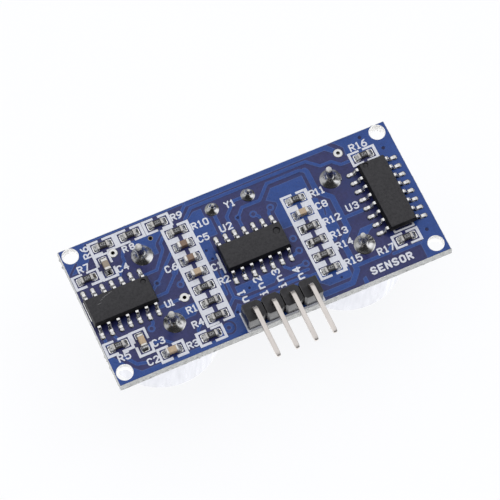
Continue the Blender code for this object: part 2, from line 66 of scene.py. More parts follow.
def node_box(node):
    """Lowest and highest corner of a CAD node, in board millimetres."""
    low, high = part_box(node)
    return (low - ORIGIN) / MM, (high - ORIGIN) / MM


def middle(node):
    low, high = node_box(node)
    return (low + high) / 2


# ---------------------------------------------------------------- materials

EVEN = (1, 1, 1)
FIBRE = (1, 1, 6)
NOISE_LOW, NOISE_HIGH = 0.3, 0.7
WEAR_GRAIN = 2.3
SMOOTHEST, ROUGHEST = 0.75, 1.3
RELIEF_DEPTH = 0.03 * MM


def add_node(tree, kind, inputs):
    """A new node, with each input set to a socket or to a value."""
    node = tree.nodes.new(f"ShaderNode{kind}")
    for name, value in inputs.items():
        if isinstance(value, bpy.types.NodeSocket):
            tree.links.new(value, node.inputs[name])
        else:
            node.inputs[name].default_value = value
    return node


def link_noise(tree, coords, grain, detail=2.0, stretch=EVEN):
    """Noise with features of about grain millimetres, as its factor socket."""
    mapping = add_node(tree, "Mapping", {"Scale": stretch, "Vector": coords})
    scale = 1 / (grain * MM)
    vector = mapping.outputs["Vector"]
    settings = {"Scale": scale, "Detail": detail, "Vector": vector}
    return add_node(tree, "TexNoise", settings).outputs["Fac"]


def link_range(tree, value, start, end, low, high):
    settings = {"Value": value, "From Min": start, "From Max": end, "To Min": low, "To Max": high}
    return add_node(tree, "MapRange", settings).outputs["Result"]


def link_mix(tree, factor, first, second):
    """Mixes two colours; each is a colour or a socket."""
    mix = tree.nodes.new("ShaderNodeMix")
    mix.data_type = "RGBA"
    tree.links.new(factor, mix.inputs["Factor"])
    for socket, colour in ((mix.inputs[6], first), (mix.inputs[7], second)):
        if isinstance(colour, bpy.types.NodeSocket):
            tree.links.new(colour, socket)
        else:
            socket.default_value = (*colour, 1.0)
    return mix.outputs[2]


def scaled(colour, share):
    return tuple(min(1.0, channel * share) for channel in colour)


def surface(
    name, colour, roughness, metallic=0.0, mottle=0.1, grain=0.5, patches=(), bump=0.15,
    bump_grain=0.1, stretch=EVEN, shine=0.5, clear=0.0,
):
    """A Principled material whose colour, roughness and relief vary with noise.

    patches are (colour, grain, noise start, noise end) and maybe a stretch, laid over the colour;
    grains are in millimetres, shine is the specular level and clear the transmission.
    """
    material = bpy.data.materials.new(name)
    material.use_nodes = True
    tree = material.node_tree
    shader = tree.nodes["Principled BSDF"]
    shader.inputs["Metallic"].default_value = metallic
    shader.inputs["Specular IOR Level"].default_value = shine
    shader.inputs["Transmission Weight"].default_value = clear
    coords = tree.nodes.new("ShaderNodeTexCoord").outputs["Object"]

    field = link_noise(tree, coords, grain, 3.0, stretch)
    spread = link_range(tree, field, NOISE_LOW, NOISE_HIGH, 0, 1)
    tint = link_mix(tree, spread, scaled(colour, 1 - mottle), scaled(colour, 1 + mottle))
    for patch_colour, patch_grain, start, end, *patch_stretch in patches:
        field = link_noise(tree, coords, patch_grain, 2.0, *patch_stretch)
        tint = link_mix(tree, link_range(tree, field, start, end, 0, 1), tint, patch_colour)
    tree.links.new(tint, shader.inputs["Base Color"])

    wear = link_noise(tree, coords, grain * WEAR_GRAIN, 4.0, stretch)
    smooth, worn = roughness * SMOOTHEST, min(1.0, roughness * ROUGHEST)
    rough = link_range(tree, wear, NOISE_LOW, NOISE_HIGH, smooth, worn)
    tree.links.new(rough, shader.inputs["Roughness"])

    height = link_noise(tree, coords, bump_grain, 2.0, stretch)
    relief = add_node(tree, "Bump", {"Strength": bump, "Distance": RELIEF_DEPTH, "Height": height})
    tree.links.new(relief.outputs["Normal"], shader.inputs["Normal"])
    return material


MASK_BASE = surface(
    "mask_over_laminate", (0.024, 0.027, 0.105), 0.32, mottle=0.16, grain=0.35,
    patches=[((0.018, 0.032, 0.13), 3.0, 0.5, 0.75)], bump=0.12, bump_grain=0.3, shine=0.25,
)
MASK_COPPER = surface(
    "mask_over_copper", (0.016, 0.053, 0.22), 0.3, mottle=0.1, grain=0.3,
    patches=[((0.019, 0.063, 0.25), 2.5, 0.55, 0.8)], bump=0.1, bump_grain=0.25, shine=0.25,
)
MASK_VIA = surface(
    "mask_in_via", (0.012, 0.013, 0.06), 0.35, mottle=0.15, grain=0.15, bump=0.2, shine=0.2,
)
MASK_EDGE = surface(
    "mask_over_copper_edge", (0.028, 0.075, 0.26), 0.28, mottle=0.1, grain=0.3, bump=0.1, shine=0.45,
)
LEGEND = surface(
    "legend_ink", (0.63, 0.645, 0.7), 0.6, mottle=0.05, grain=0.2,
    patches=[((0.53, 0.56, 0.65), 0.35, 0.6, 0.8)], bump=0.3, bump_grain=0.08, shine=0.3,
)
LAMINATE = surface(
    "glass_fibre_edge", (0.5, 0.505, 0.5), 0.8, mottle=0.14, grain=0.12,
    patches=[((0.74, 0.74, 0.71), 0.2, 0.5, 0.7, FIBRE), ((0.34, 0.36, 0.35), 0.5, 0.6, 0.8, FIBRE)],
    bump=0.8, bump_grain=0.08,
)
HOLE_WALL = surface(
    "drilled_wall", (0.93, 0.925, 0.91), 0.7, mottle=0.05, grain=0.15,
    patches=[((0.82, 0.8, 0.73), 0.3, 0.62, 0.8, FIBRE)], bump=0.4,
)
RESIN_RIM = surface("resin_rim", (0.24, 0.21, 0.17), 0.6, mottle=0.2, grain=0.1)
# Near-black colour for the inside of the narrow bare hole: painted shade, not burnt resin.
HOLE_INSIDE_SHADE = surface("narrow_hole_painted_shade", (0.05, 0.035, 0.022), 0.7, mottle=0.3, grain=0.1)
TIN = surface(
    "tinned_pad", (0.49, 0.485, 0.475), 0.26, 1.0, mottle=0.06, grain=0.25, bump=0.25, bump_grain=0.15,
)
STUB_SIDE = surface(
    "tinned_wire_side", (0.3, 0.3, 0.295), 0.25, 1.0, mottle=0.15, grain=0.3, bump=0.15,
    bump_grain=0.15,
)
CUT_TIN = surface(
    "tinned_wire_end", (0.48, 0.475, 0.46), 0.45, 1.0, mottle=0.22, grain=0.25, bump=0.3,
    bump_grain=0.12,
)
SOLDER = surface(
    "solder", (0.6, 0.6, 0.595), 0.21, 1.0, mottle=0.06, grain=0.6,
    patches=[((0.5, 0.5, 0.49), 0.6, 0.62, 0.82)], bump=0.02, bump_grain=0.6,
)
FILLET = surface(
    "solder_fillet", (0.62, 0.62, 0.615), 0.18, 1.0, mottle=0.12, grain=0.3,
    patches=[((0.12, 0.12, 0.115), 0.22, 0.52, 0.66)], bump=0.9, bump_grain=0.25,
)
TOE_SOLDER = surface(
    "toe_solder", (0.41, 0.405, 0.4), 0.16, 1.0, mottle=0.12, grain=0.3,
    patches=[((0.25, 0.25, 0.24), 0.25, 0.56, 0.72)], bump=0.35, bump_grain=0.3,
)
LEAD_TIN = surface(
    "tinned_lead", (0.53, 0.525, 0.515), 0.15, 1.0, mottle=0.08, grain=0.2, bump=0.2, bump_grain=0.08,
)
CHIP_RESIN = surface(
    "chip_resin", (0.027, 0.0263, 0.029), 0.6, mottle=0.14, grain=0.12,
    patches=[((0.05, 0.049, 0.053), 0.06, 0.68, 0.8)], bump=0.5, bump_grain=0.05, shine=0.32,
)
# Near-black copy of the chip resin for the steep sides: painted shade, not a different finish.
CHIP_SIDE_SHADE = surface(
    "chip_resin_painted_shade", (0.006, 0.006, 0.007), 0.45, mottle=0.2, grain=0.12, bump=0.4, bump_grain=0.06,
    shine=0.2,
)
SCUFF = surface("chip_scuff", (0.11, 0.11, 0.115), 0.5, mottle=0.3, grain=0.1)
GLAZE = surface(
    "resistor_glaze", (0.02, 0.019, 0.02), 0.3, mottle=0.3, grain=0.15, bump=0.15, shine=0.35,
)
# The resistor's alumina body is white; this near-black colour on its sides is painted shade.
RESISTOR_SIDE_SHADE = surface("resistor_side_painted_shade", (0.05, 0.045, 0.042), 0.5, mottle=0.3, grain=0.15, bump=0.3)
CODE_INK = surface("code_ink", (0.33, 0.33, 0.34), 0.5, mottle=0.2, grain=0.1)
CERAMIC = surface(
    "capacitor_ceramic", (0.43, 0.325, 0.215), 0.5, mottle=0.1, grain=0.15,
    patches=[((0.34, 0.24, 0.15), 0.25, 0.58, 0.75)], bump=0.3, bump_grain=0.06,
)
GREY_CERAMIC = surface(
    "capacitor_grey_ceramic", (0.28, 0.23, 0.175), 0.45, mottle=0.1, grain=0.15,
    patches=[((0.22, 0.17, 0.12), 0.25, 0.58, 0.75)], bump=0.3, bump_grain=0.06,
)
BROWN_CERAMIC = surface(
    "capacitor_brown_ceramic", (0.19, 0.12, 0.08), 0.45, mottle=0.1, grain=0.15,
    patches=[((0.14, 0.085, 0.055), 0.25, 0.58, 0.75)], bump=0.3, bump_grain=0.06,
)
CAPACITOR_END = surface(
    "capacitor_end", (0.49, 0.48, 0.46), 0.32, 1.0, mottle=0.15, grain=0.15, bump=0.5, bump_grain=0.1,
)
# Ceramic of each capacitor and length of its plated ends.
SHORT_END, NARROW_END = 0.42, 0.32
CAPACITORS = {
    "capacitor_c2": (CERAMIC, NARROW_END),
    "capacitor_c3": (CERAMIC, NARROW_END),
    "capacitor_c4": (GREY_CERAMIC, SHORT_END),
    "capacitor_c5": (BROWN_CERAMIC, SHORT_END),
    "capacitor_c6": (BROWN_CERAMIC, SHORT_END),
}
CHIP_END = surface(
    "plated_end", (0.37, 0.36, 0.345), 0.36, 1.0, mottle=0.25, grain=0.15, bump=0.5, bump_grain=0.1,
)
NYLON = surface(
    "header_nylon", (0.014, 0.0135, 0.0155), 0.3, mottle=0.15, grain=0.3,
    patches=[((0.025, 0.025, 0.028), 0.5, 0.6, 0.8)], bump=0.3, bump_grain=0.12, shine=0.9,
)
NYLON_TOP = surface(
    "header_nylon_top", (0.016, 0.0155, 0.018), 0.45, mottle=0.15, grain=0.3,
    patches=[((0.03, 0.03, 0.033), 0.4, 0.6, 0.8)], bump=0.35, bump_grain=0.1, shine=0.3,
)
PIN_PLATE = surface(
    "pin_plating", (0.46, 0.43, 0.405), 0.3, 1.0, mottle=0.06, grain=0.8,
    patches=[((0.37, 0.335, 0.3), 0.5, 0.62, 0.85, (1, 0.2, 1))], bump=0.25, bump_grain=0.1,
    stretch=(3, 0.4, 3),
)
DRAWN_ALUMINIUM = surface(
    "drawn_aluminium", (0.485, 0.49, 0.52), 0.32, 1.0, mottle=0.04, grain=0.6,
    patches=[((0.45, 0.455, 0.48), 1.5, 0.58, 0.8, (1, 1, 0.3))], bump=0.2, bump_grain=0.12,
    stretch=(2, 2, 0.25),
)
SPUN_ALUMINIUM = surface(
    "spun_aluminium", (0.5, 0.5, 0.51), 0.36, 1.0, mottle=0.08, grain=0.3, bump=0.4, bump_grain=0.1,
)
WIRE = surface("steel_wire", (0.42, 0.42, 0.43), 0.33, 1.0, mottle=0.15, grain=0.2, bump=0.2)
STEEL = surface(
    "plated_steel", (0.44, 0.44, 0.445), 0.24, 1.0, mottle=0.05, grain=0.8,
    patches=[((0.37, 0.37, 0.38), 1.2, 0.6, 0.85, (0.3, 1, 1))], bump=0.15, bump_grain=0.2,
    stretch=(0.4, 2, 2),
)
BRASS = surface("rolled_brass", (0.55, 0.41, 0.2), 0.3, 1.0, mottle=0.1, grain=0.5)
PIEZO = surface("fired_ceramic", (0.55, 0.5, 0.42), 0.55, mottle=0.15, grain=0.2)
BASE_PLASTIC = surface("base_plastic", (0.03, 0.03, 0.032), 0.5, mottle=0.2, grain=0.3)
QUARTZ = surface("quartz", (0.85, 0.86, 0.84), 0.12, mottle=0.05, clear=0.5)


# ---------------------------------------------------------------- mesh building


def make_piece(name, bm, materials, nodes=(), smooth=35):
    """Turns a bmesh in board millimetres into a piece that rides on the module."""
    bm.transform(TO_FRAME)
    mesh = bpy.data.meshes.new(name)
    bm.to_mesh(mesh)
    bm.free()
    for material in materials:
        mesh.materials.append(material)
    mesh.shade_smooth()
    mesh.set_sharp_from_angle(angle=radians(smooth))
    piece = bpy.data.objects.new(name, mesh)
    bpy.context.scene.collection.objects.link(piece)
    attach(piece, "root")
    if nodes:
        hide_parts(*nodes)
    return piece


def loft(bm, rings, material=0, capped=True, closed=False):
    """Joins rings of equal count, each counter-clockwise as seen from where the loft goes."""
    loops = [[bm.verts.new(point) for point in ring] for ring in rings]
    count = len(loops[0])
    pairs = list(zip(loops, loops[1:]))
    if closed:
        pairs.append((loops[-1], loops[0]))
    for lower, upper in pairs:
        for i in range(count):
            j = (i + 1) % count
            face = bm.faces.new((lower[i], lower[j], upper[j], upper[i]))
            face.material_index = material
    if capped and not closed:
        for loop in (loops[0][::-1], loops[-1]):
            bm.faces.new(loop).material_index = material


def circle(radius, steps, x=0.0, y=0.0):
    angles = [2 * pi * step / steps for step in range(steps)]
    return [(x + radius * cos(a), y + radius * sin(a)) for a in angles]


def rounded_rect(width, depth, corner, steps=3, x=0.0, y=0.0):
    points = []
    for quarter, (side, end) in enumerate(((1, 1), (-1, 1), (-1, -1), (1, -1))):
        for step in range(steps + 1):
            angle = (quarter + step / steps) * pi / 2
            points.append(
                (
                    x + side * (width / 2 - corner) + corner * cos(angle),
                    y + end * (depth / 2 - corner) + corner * sin(angle),
                )
            )
    return points


def at_height(outline, z):
    return [(x, y, z) for x, y in outline]


def soft_box(bm, centre, size, edge, material=0, steps=3):
    """A box with every edge rounded."""
    width, depth, height = size
    x, y, z = centre
    rings = []
    for end in (-1, 1):
        for step in range(steps + 1)[:: -end]:
            turn = pi / 2 * step / steps
            inset = edge * (1 - sin(turn))
            outline = rounded_rect(
                width - 2 * inset, depth - 2 * inset, edge * (0.1 + 0.9 * sin(turn)), steps, x, y
            )
            rings.append(at_height(outline, z + end * (height / 2 - edge * (1 - cos(turn)))))
    loft(bm, rings if rings[0][0][2] < rings[-1][0][2] else rings[::-1], material)


def turned(bm, profile, centre, steps=32, material=0, closed=False, lean=(0, 0)):
    """Turns (radius, z) points about Z, going up the outer side; lean shifts each mm of z."""
    x, y, z = centre
    rings = []
    for radius, height in profile:
        shift_x, shift_y = lean[0] * height, lean[1] * height
        outline = circle(max(radius, 0.004), steps, x + shift_x, y + shift_y)
        rings.append(at_height(outline, z + height))
    loft(bm, rings, material, closed=closed)


def sweep(bm, path, section, side, material=0, sizes=None):
    """Sweeps a section of (across, up) points along a path in the plane that is normal to side."""
    path = [Vector(point) for point in path]
    rings = []
    for i, point in enumerate(path):
        before = path[max(i - 1, 0)]
        after = path[min(i + 1, len(path) - 1)]
        up = (after - before).normalized().cross(side)
        size = sizes[i] if sizes else 1.0
        rings.append([point + side * (u * size) + up * (v * size) for u, v in section])
    loft(bm, rings, material)


def blend(bm, base, crest, low, high, hollow, rounding=1.0, material=0, steps=7):
    """A body that narrows from one outline to another of equal count.

    hollow over 1 makes its flanks concave; rounding over 1 flattens its top.
    """
    levels = []
    for step in range(steps + 1):
        share = step / steps
        climb = 1 - (1 - share**hollow) ** rounding
        levels.append(
            [
                (bx + (cx - bx) * share, by + (cy - by) * share, low + (high - low) * climb)
                for (bx, by), (cx, cy) in zip(base, crest)
            ]
        )
    loft(bm, levels, material)


def dome(bm, outline, low, high, top_share=0.3, material=0, steps=7):
    """A body with bulging flanks over an outline."""
    count = len(outline)
    middle_x = sum(x for x, y in outline) / count
    middle_y = sum(y for x, y in outline) / count
    levels = []
    for step in range(steps + 1):
        turn = pi / 2 * step / steps
        size = top_share + (1 - top_share) * cos(turn)
        spots = [(middle_x + (x - middle_x) * size, middle_y + (y - middle_y) * size) for x, y in outline]
        levels.append(at_height(spots, low + (high - low) * sin(turn)))
    loft(bm, levels, material)


def turned_way(polygon):
    """The polygon counter-clockwise."""
    doubled = sum(
        ax * by - bx * ay for (ax, ay), (bx, by) in zip(polygon, [*polygon[1:], polygon[0]])
    )
    return list(polygon) if doubled > 0 else list(polygon)[::-1]


def plan(polygons, holes=()):
    """Points and triangles that cover the union of flat polygons, less the holes."""
    points, faces = [], []
    for polygon in [*polygons, *holes]:
        start = len(points)
        points += [Vector(point) for point in turned_way(polygon)]
        faces.append(list(range(start, len(points))))
    made = delaunay_2d_cdt(points, [], faces, 1, 1e-5)
    flat = [(point.x, point.y) for point in made[0]]
    kept = []
    for triangle, sources in zip(made[2], made[5]):
        if sources and max(sources) < len(polygons):
            a, b, c = (flat[i] for i in triangle)
            doubled = (b[0] - a[0]) * (c[1] - a[1]) - (c[0] - a[0]) * (b[1] - a[1])
            if abs(doubled) > 1e-9:
                kept.append(tuple(triangle) if doubled > 0 else tuple(triangle)[::-1])
    return flat, kept


def slab(bm, flat, triangles, tops, bottom, materials=None):
    """A closed body over a plan, from bottom up to each point's own top."""
    used = sorted({i for triangle in triangles for i in triangle})
    upper = {i: bm.verts.new((*flat[i], tops[i])) for i in used}
    lower = {i: bm.verts.new((*flat[i], bottom)) for i in used}
    edges = set()
    for number, triangle in enumerate(triangles):
        index = materials[number] if materials is not None else 0
        bm.faces.new([upper[i] for i in triangle]).material_index = index
        bm.faces.new([lower[i] for i in triangle[::-1]]).material_index = index
        edges.update(zip(triangle, (*triangle[1:], triangle[0])))
    for a, b in edges:
        if (b, a) not in edges:
            bm.faces.new((lower[a], lower[b], upper[b], upper[a]))


def flat_slab(bm, polygons, low, high, holes=()):
    flat, triangles = plan(polygons, holes)
    slab(bm, flat, triangles, [high] * len(flat), low)


def flipped(bm):
    """Mirrors a bmesh that was modelled on the component face onto the front face."""
    bm.transform(Matrix.Translation((0, 0, FRONT_FACE)) @ Matrix.Scale(-1, 4, (0, 0, 1)))
    bmesh.ops.reverse_faces(bm, faces=bm.faces)


# ---------------------------------------------------------------- strokes and lettering


def segments(path, width):
    """A polyline as strokes, each (start, end, half width)."""
    if len(path) == 1:
        return [(path[0], path[0], width / 2)]
    return [(a, b, width / 2) for a, b in zip(path, path[1:])]


def capsule(stroke, grow=0.0, steps=5):
    """The outline of a stroke with round ends."""
    (ax, ay), (bx, by), radius = stroke
    radius += grow
    length = hypot(bx - ax, by - ay)
    if length < 1e-6:
        return circle(radius, 2 * steps + 4, ax, ay)
    ux, uy = (bx - ax) / length, (by - ay) / length
    points = []
    for x, y, sign in ((bx, by, 1), (ax, ay, -1)):
        for step in range(steps + 1):
            turn = -pi / 2 + pi * step / steps
            along, across = sign * cos(turn) * radius, sign * sin(turn) * radius
            points.append((x + ux * along - uy * across, y + uy * along + ux * across))
    return points


# Strokes of each letter as x,y points on a grid 4 wide and 6 high; a bar starts the next stroke.
GLYPHS = {
    "R": "0,0 0,6 3,6 4,5 4,4 3,3 0,3 | 1.8,3 4,0",
    "C": "4,5 3,6 1,6 0,5 0,1 1,0 3,0 4,1",
    "U": "0,6 0,1 1,0 3,0 4,1 4,6",
    "Y": "0,6 2,3.4 4,6 | 2,3.4 2,0",
    "S": "4,5 3,6 1,6 0,5 0,4 1,3.2 3,2.8 4,2 4,1 3,0 1,0 0,1",
    "E": "4,6 0,6 0,0 4,0 | 0,3 3,3",
    "N": "0,0 0,6 4,0 4,6",
    "O": "1,0 0,1 0,5 1,6 3,6 4,5 4,1 3,0 1,0",
    "1": "1,5 2,6 2,0 | 1,0 3,0",
    "2": "0,5 1,6 3,6 4,5 4,3.8 0,0 4,0",
    "3": "0,5 1,6 3,6 4,5 4,4 3,3.1 1.5,3.1 | 3,3.1 4,2 4,1 3,0 1,0 0,1",
    "4": "3,0 3,6 0,2 4,2",
    "5": "4,6 0.3,6 0,3.2 1,3.8 3,3.8 4,2.8 4,1 3,0 1,0 0,1",
    "6": "3.6,6 1.6,5.2 0,2.6 0,1 1,0 3,0 4,1 4,2.4 3,3.4 1,3.4 0,2.4",
    "7": "0,6 4,6 1.4,0",
    "8": "1,3.1 0,4 0,5 1,6 3,6 4,5 4,4 3,3.1 1,3.1 0,2.1 0,1 1,0 3,0 4,1 4,2.1 3,3.1",
    "9": "4,3.6 3,2.6 1,2.6 0,3.6 0,5 1,6 3,6 4,5 4,3 2.4,0.8 0.4,0",
    "p": "0,-2 0,4 | 0,3 1,4 3,4 4,3 4,1 3,0 1,0 0,1",
    "i": "1,4 2,4 2,0 | 1,0 3,0 | 2,5.8 2,6",
    "n": "0,0 0,4 | 0,3 1,4 3,4 4,3 4,0",
}
GLYPHS["0"] = GLYPHS["O"]


def glyph_paths(letter):
    for stroke in GLYPHS[letter].split("|"):
        yield [tuple(map(float, point.split(","))) for point in stroke.split()]


def lettering(text, x0, x1, y0, y1, upright=False, weight=0.19):
    """Strokes of a text that fills a box; upright text reads up the board."""
    length, height = (y1 - y0, x1 - x0) if upright else (x1 - x0, y1 - y0)
    unit = (height - weight) / 6
    glyph_width = 4 * unit + weight
    advance = (length - glyph_width) / max(len(text) - 1, 1)
    made = []
    for i, letter in enumerate(text):
        for path in glyph_paths(letter):
            spots = []
            for u, v in path:
                along = weight / 2 + i * advance + u * unit
                up = weight / 2 + v * unit
                spots.append((x1 - up, y0 + along) if upright else (x0 + along, y0 + up))
            made += segments(spots, weight)
    return made


def round_path(x, y, radius, steps):
    """A closed circle as a path, with this many steps on each half."""
    angles = [a * pi / steps for a in range(2 * steps + 1)]
    return [(x + radius * cos(angle), y + radius * sin(angle)) for angle in angles]


def box_outline(x0, x1, y0, y1):
    return [(x0, y0), (x1, y0), (x1, y1), (x0, y1)]


def brackets(outer, window, gap, upright=False):
    """The legend round a chip part: a frame between two boxes, with a gap in two of its sides."""
    x0, x1, y0, y1 = outer
    wx0, wx1, wy0, wy1 = window
    if upright:
        turned_boxes = brackets((y0, y1, x0, x1), (wy0, wy1, wx0, wx1), gap)
        return [[(y, x) for x, y in outline] for outline in turned_boxes]
    return [
        box_outline(x0, wx0, y0, y1),
        box_outline(wx1, x1, y0, y1),
        box_outline(x0, gap[0], wy1, y1),
        box_outline(gap[1], x1, wy1, y1),
        box_outline(x0, gap[0], y0, wy0),
        box_outline(gap[1], x1, y0, wy0),
    ]


# ---------------------------------------------------------------- copper under the mask


def depth_in_strokes(spots, strokes):
    """How far inside the nearest stroke each spot lies, negative outside."""
    depth = np.full(len(spots), -1e3)
    for a, b, radius in strokes:
        a, b = np.array(a, float), np.array(b, float)
        along = b - a
        share = np.clip(((spots - a) @ along) / max(along @ along, 1e-12), 0, 1)
        gap = np.linalg.norm(spots - a - share[:, None] * along, axis=1)
        depth = np.maximum(depth, radius - gap)
    return depth


def depth_in_polygons(spots, polygons):
    depth = np.full(len(spots), -1e3)
    for polygon in polygons:
        corners = np.array(polygon, float)
        nearest = np.full(len(spots), 1e3)
        inside = np.zeros(len(spots), bool)
        for a, b in zip(corners, np.roll(corners, -1, axis=0)):
            along = b - a
            share = np.clip(((spots - a) @ along) / (along @ along), 0, 1)
            nearest = np.minimum(nearest, np.linalg.norm(spots - a - share[:, None] * along, axis=1))
            crosses = (a[1] > spots[:, 1]) != (b[1] > spots[:, 1])
            slope = (b[0] - a[0]) / (b[1] - a[1] if b[1] != a[1] else 1e-9)
            inside ^= crosses & (spots[:, 0] < a[0] + slope * (spots[:, 1] - a[1]))
        depth = np.maximum(depth, np.where(inside, nearest, -nearest))
    return depth


def inset(polygon, amount):
    """The polygon with every side moved inwards."""
    corners = [Vector(point) for point in turned_way(polygon)]
    moved = []
    for i, corner in enumerate(corners):
        before = (corner - corners[i - 1]).normalized()
        after = (corners[(i + 1) % len(corners)] - corner).normalized()
        bisector = Vector((-before.y - after.y, before.x + after.x))
        reach = amount / max(bisector.length_squared / 2, 0.3)
        moved.append(tuple(corner + bisector * reach))
    return moved


class Copper:
    """Pours, gaps cut from them, tracks laid over both, drilled dots and the eyes of wider rings."""

    SLOPE = 0.07
    SLOPE_END = 0.9
    RISE = 0.035
    VIA_DIP = 0.05
    EYE = 0.27

    def __init__(self):
        self.pours, self.gaps, self.tracks, self.dots, self.eyes = [], [], [], [], []

    def pour(self, *points):
        self.pours.append(points)

    def gap(self, width, *path):
        self.gaps += segments(path, width)

    def track(self, width, *path):
        self.tracks += segments(path, width)

    def via(self, x, y, radius=0.42, hole=0.22):
        self.tracks.append(((x, y), (x, y), radius))
        self.dots.append(((x, y), (x, y), hole))

    def ring(self, x, y):
        self.tracks.append(((x, y), (x, y), 0.5))
        self.eyes.append(((x, y), (x, y), self.EYE))

    def depth(self, spots):
        """How far each spot lies inside copper, negative outside."""
        base = np.minimum(depth_in_polygons(spots, self.pours), -depth_in_strokes(spots, self.gaps))
        laid = np.maximum(base, depth_in_strokes(spots, self.tracks))
        return np.minimum(laid, -depth_in_strokes(spots, self.dots + self.eyes))

    def outlines(self):
        made = []
        for polygon in self.pours:
            made += [polygon, inset(polygon, self.SLOPE)]
        for strokes, grow in ((self.gaps, 1), (self.tracks, -1), (self.dots + self.eyes, 1)):
            for stroke in strokes:
                made += [capsule(stroke), capsule(stroke, grow * self.SLOPE)]
        return made


TOUCH = 1e-4
DOT_RIM = 0.004
OVERSHOOT = 1.04
ON_LAMINATE, ON_COPPER, ON_SLOPE, IN_VIA = range(4)


def mask_sheet(copper, outline, holes, base, bottom):
    """The solder mask as a closed sheet that rises over the copper, with its four finishes."""
    flat, triangles = plan([outline, *copper.outlines()], holes)
    spots = np.array(flat)
    inside = depth_in_polygons(spots, [outline]) > -TOUCH
    triangles = [t for t in triangles if all(inside[i] for i in t)]
    depth = copper.depth(spots)
    tops = base + copper.RISE * np.clip(depth / copper.SLOPE * OVERSHOOT, 0, 1)
    tops -= copper.VIA_DIP * (depth_in_strokes(spots, copper.dots) > -TOUCH)
    centres = spots[np.array(triangles)].mean(axis=1)
    share = copper.depth(centres) / copper.SLOPE
    finishes = np.where(share > 0, ON_SLOPE, ON_LAMINATE)
    finishes = np.where(share > copper.SLOPE_END, ON_COPPER, finishes)
    finishes = np.where(depth_in_strokes(centres, copper.dots) > -DOT_RIM, IN_VIA, finishes)
    bm = bmesh.new()
    slab(bm, flat, triangles, tops, bottom, [int(finish) for finish in finishes])
    return bm


# ---------------------------------------------------------------- circuit board

MASK_X0, MASK_X1 = -HALF_X + 0.12, HALF_X - 0.2
MASK_Y0, MASK_Y1 = -HALF_Y + 0.2, HALF_Y - 0.22
MASK_LEVEL = -0.025
MASK_BOTTOM = -0.12
LEGEND_LOW, LEGEND_HIGH = -0.05, 0.028
LEGEND_MARGIN = 0.45
LINE, WIDE_LINE = 0.18, 0.24
CAN_CIRCLE = 8.35
PAD_LEVEL = 0.02
HEADER_PITCH = 2.54
LEAD_PITCH = 1.27

SCREW_HOLE_RADIUS = 1.0
SCREW_HOLE_STEPS = 40
SCREW_RING = 0.09
SCREW_HOLES = [(x - 0.13, y + 0.17) for x in (-21.3, 21.3) for y in (-8.55, 8.55)]
RING_PADS = [(-16.39, 6.97), (-10.67, -2.24), (15.33, 8.06)]
RING_PAD_RADIUS = 0.62
RING_HOLE_RADIUS = 0.25
BARE_HOLE = (-11.28, 6.91)
BARE_HOLE_RADIUS = 0.26
EDGE_STEP = 0.16


def edge_ring(inward, z, rough):
    """The board's outline at one level, moved inwards and worn by noise."""
    half_x, half_y = HALF_X - inward, HALF_Y - inward
    corners = ((-1, -1), (1, -1), (1, 1), (-1, 1))
    points = []
    for side, (x, y) in enumerate(corners):
        nx, ny = corners[(side + 1) % 4]
        lengthwise = side % 2 == 0
        count = int(2 * (HALF_X if lengthwise else HALF_Y) / EDGE_STEP)
        for i in range(count):
            share = i / count
            px = half_x * (x + (nx - x) * share)
            py = half_y * (y + (ny - y) * share)
            wave = noise.noise(Vector((px * 2.2, py * 2.2, z * 3.0)))
            wave += 0.5 * noise.noise(Vector((px * 7.0, py * 7.0, z * 9.0)))
            size = 1 + (wave - 0.5) * rough / max(half_x, half_y)
            nib = noise.noise(Vector((px * 1.7 + 9, py * 1.7, z * 1.2 + 5)))
            push = (wave - 0.4) * rough + 0.5 * rough * max(0.0, nib - 0.25) * 4
            if lengthwise:
                points.append((px * size, py + (push if y > 0 else -push), z))
            else:
                points.append((px + (push if x > 0 else -push), py * size, z))
    return points


def build_core():
    """The laminate, with drilled holes and sawn and snapped edges."""
    bm = bmesh.new()
    holes = [circle(SCREW_HOLE_RADIUS, SCREW_HOLE_STEPS, x, y) for x, y in SCREW_HOLES]
    holes += [circle(RING_HOLE_RADIUS, 16, x, y) for x, y in RING_PADS]
    holes.append(circle(BARE_HOLE_RADIUS, 18, *BARE_HOLE))
    margin = 0.24
    outline = box_outline(-HALF_X + margin, HALF_X - margin, -HALF_Y + margin, HALF_Y - margin)
    flat_slab(bm, [outline], FRONT_FACE + 0.1, -0.1, holes)

    deep, score = 0.28, 0.42
    levels = [
        (deep, FRONT_FACE + 0.03, 0),
        (0.16, FRONT_FACE + 0.03, 0.015),
        (0.03, FRONT_FACE + score, 0.05),
        (0.02, FRONT_FACE + score + 0.08, 0.16),
        (0.0, FRONT_FACE / 2 - 0.15, 0.2),
        (0.0, FRONT_FACE / 2 + 0.15, 0.2),
        (0.02, -score - 0.08, 0.16),
        (0.03, -score, 0.05),
        (0.16, -0.03, 0.015),
        (deep, -0.03, 0),
    ]
    loft(bm, [edge_ring(*level) for level in levels], closed=True)
    make_piece("board_laminate", bm, [LAMINATE], ["circuit_board"], smooth=50)


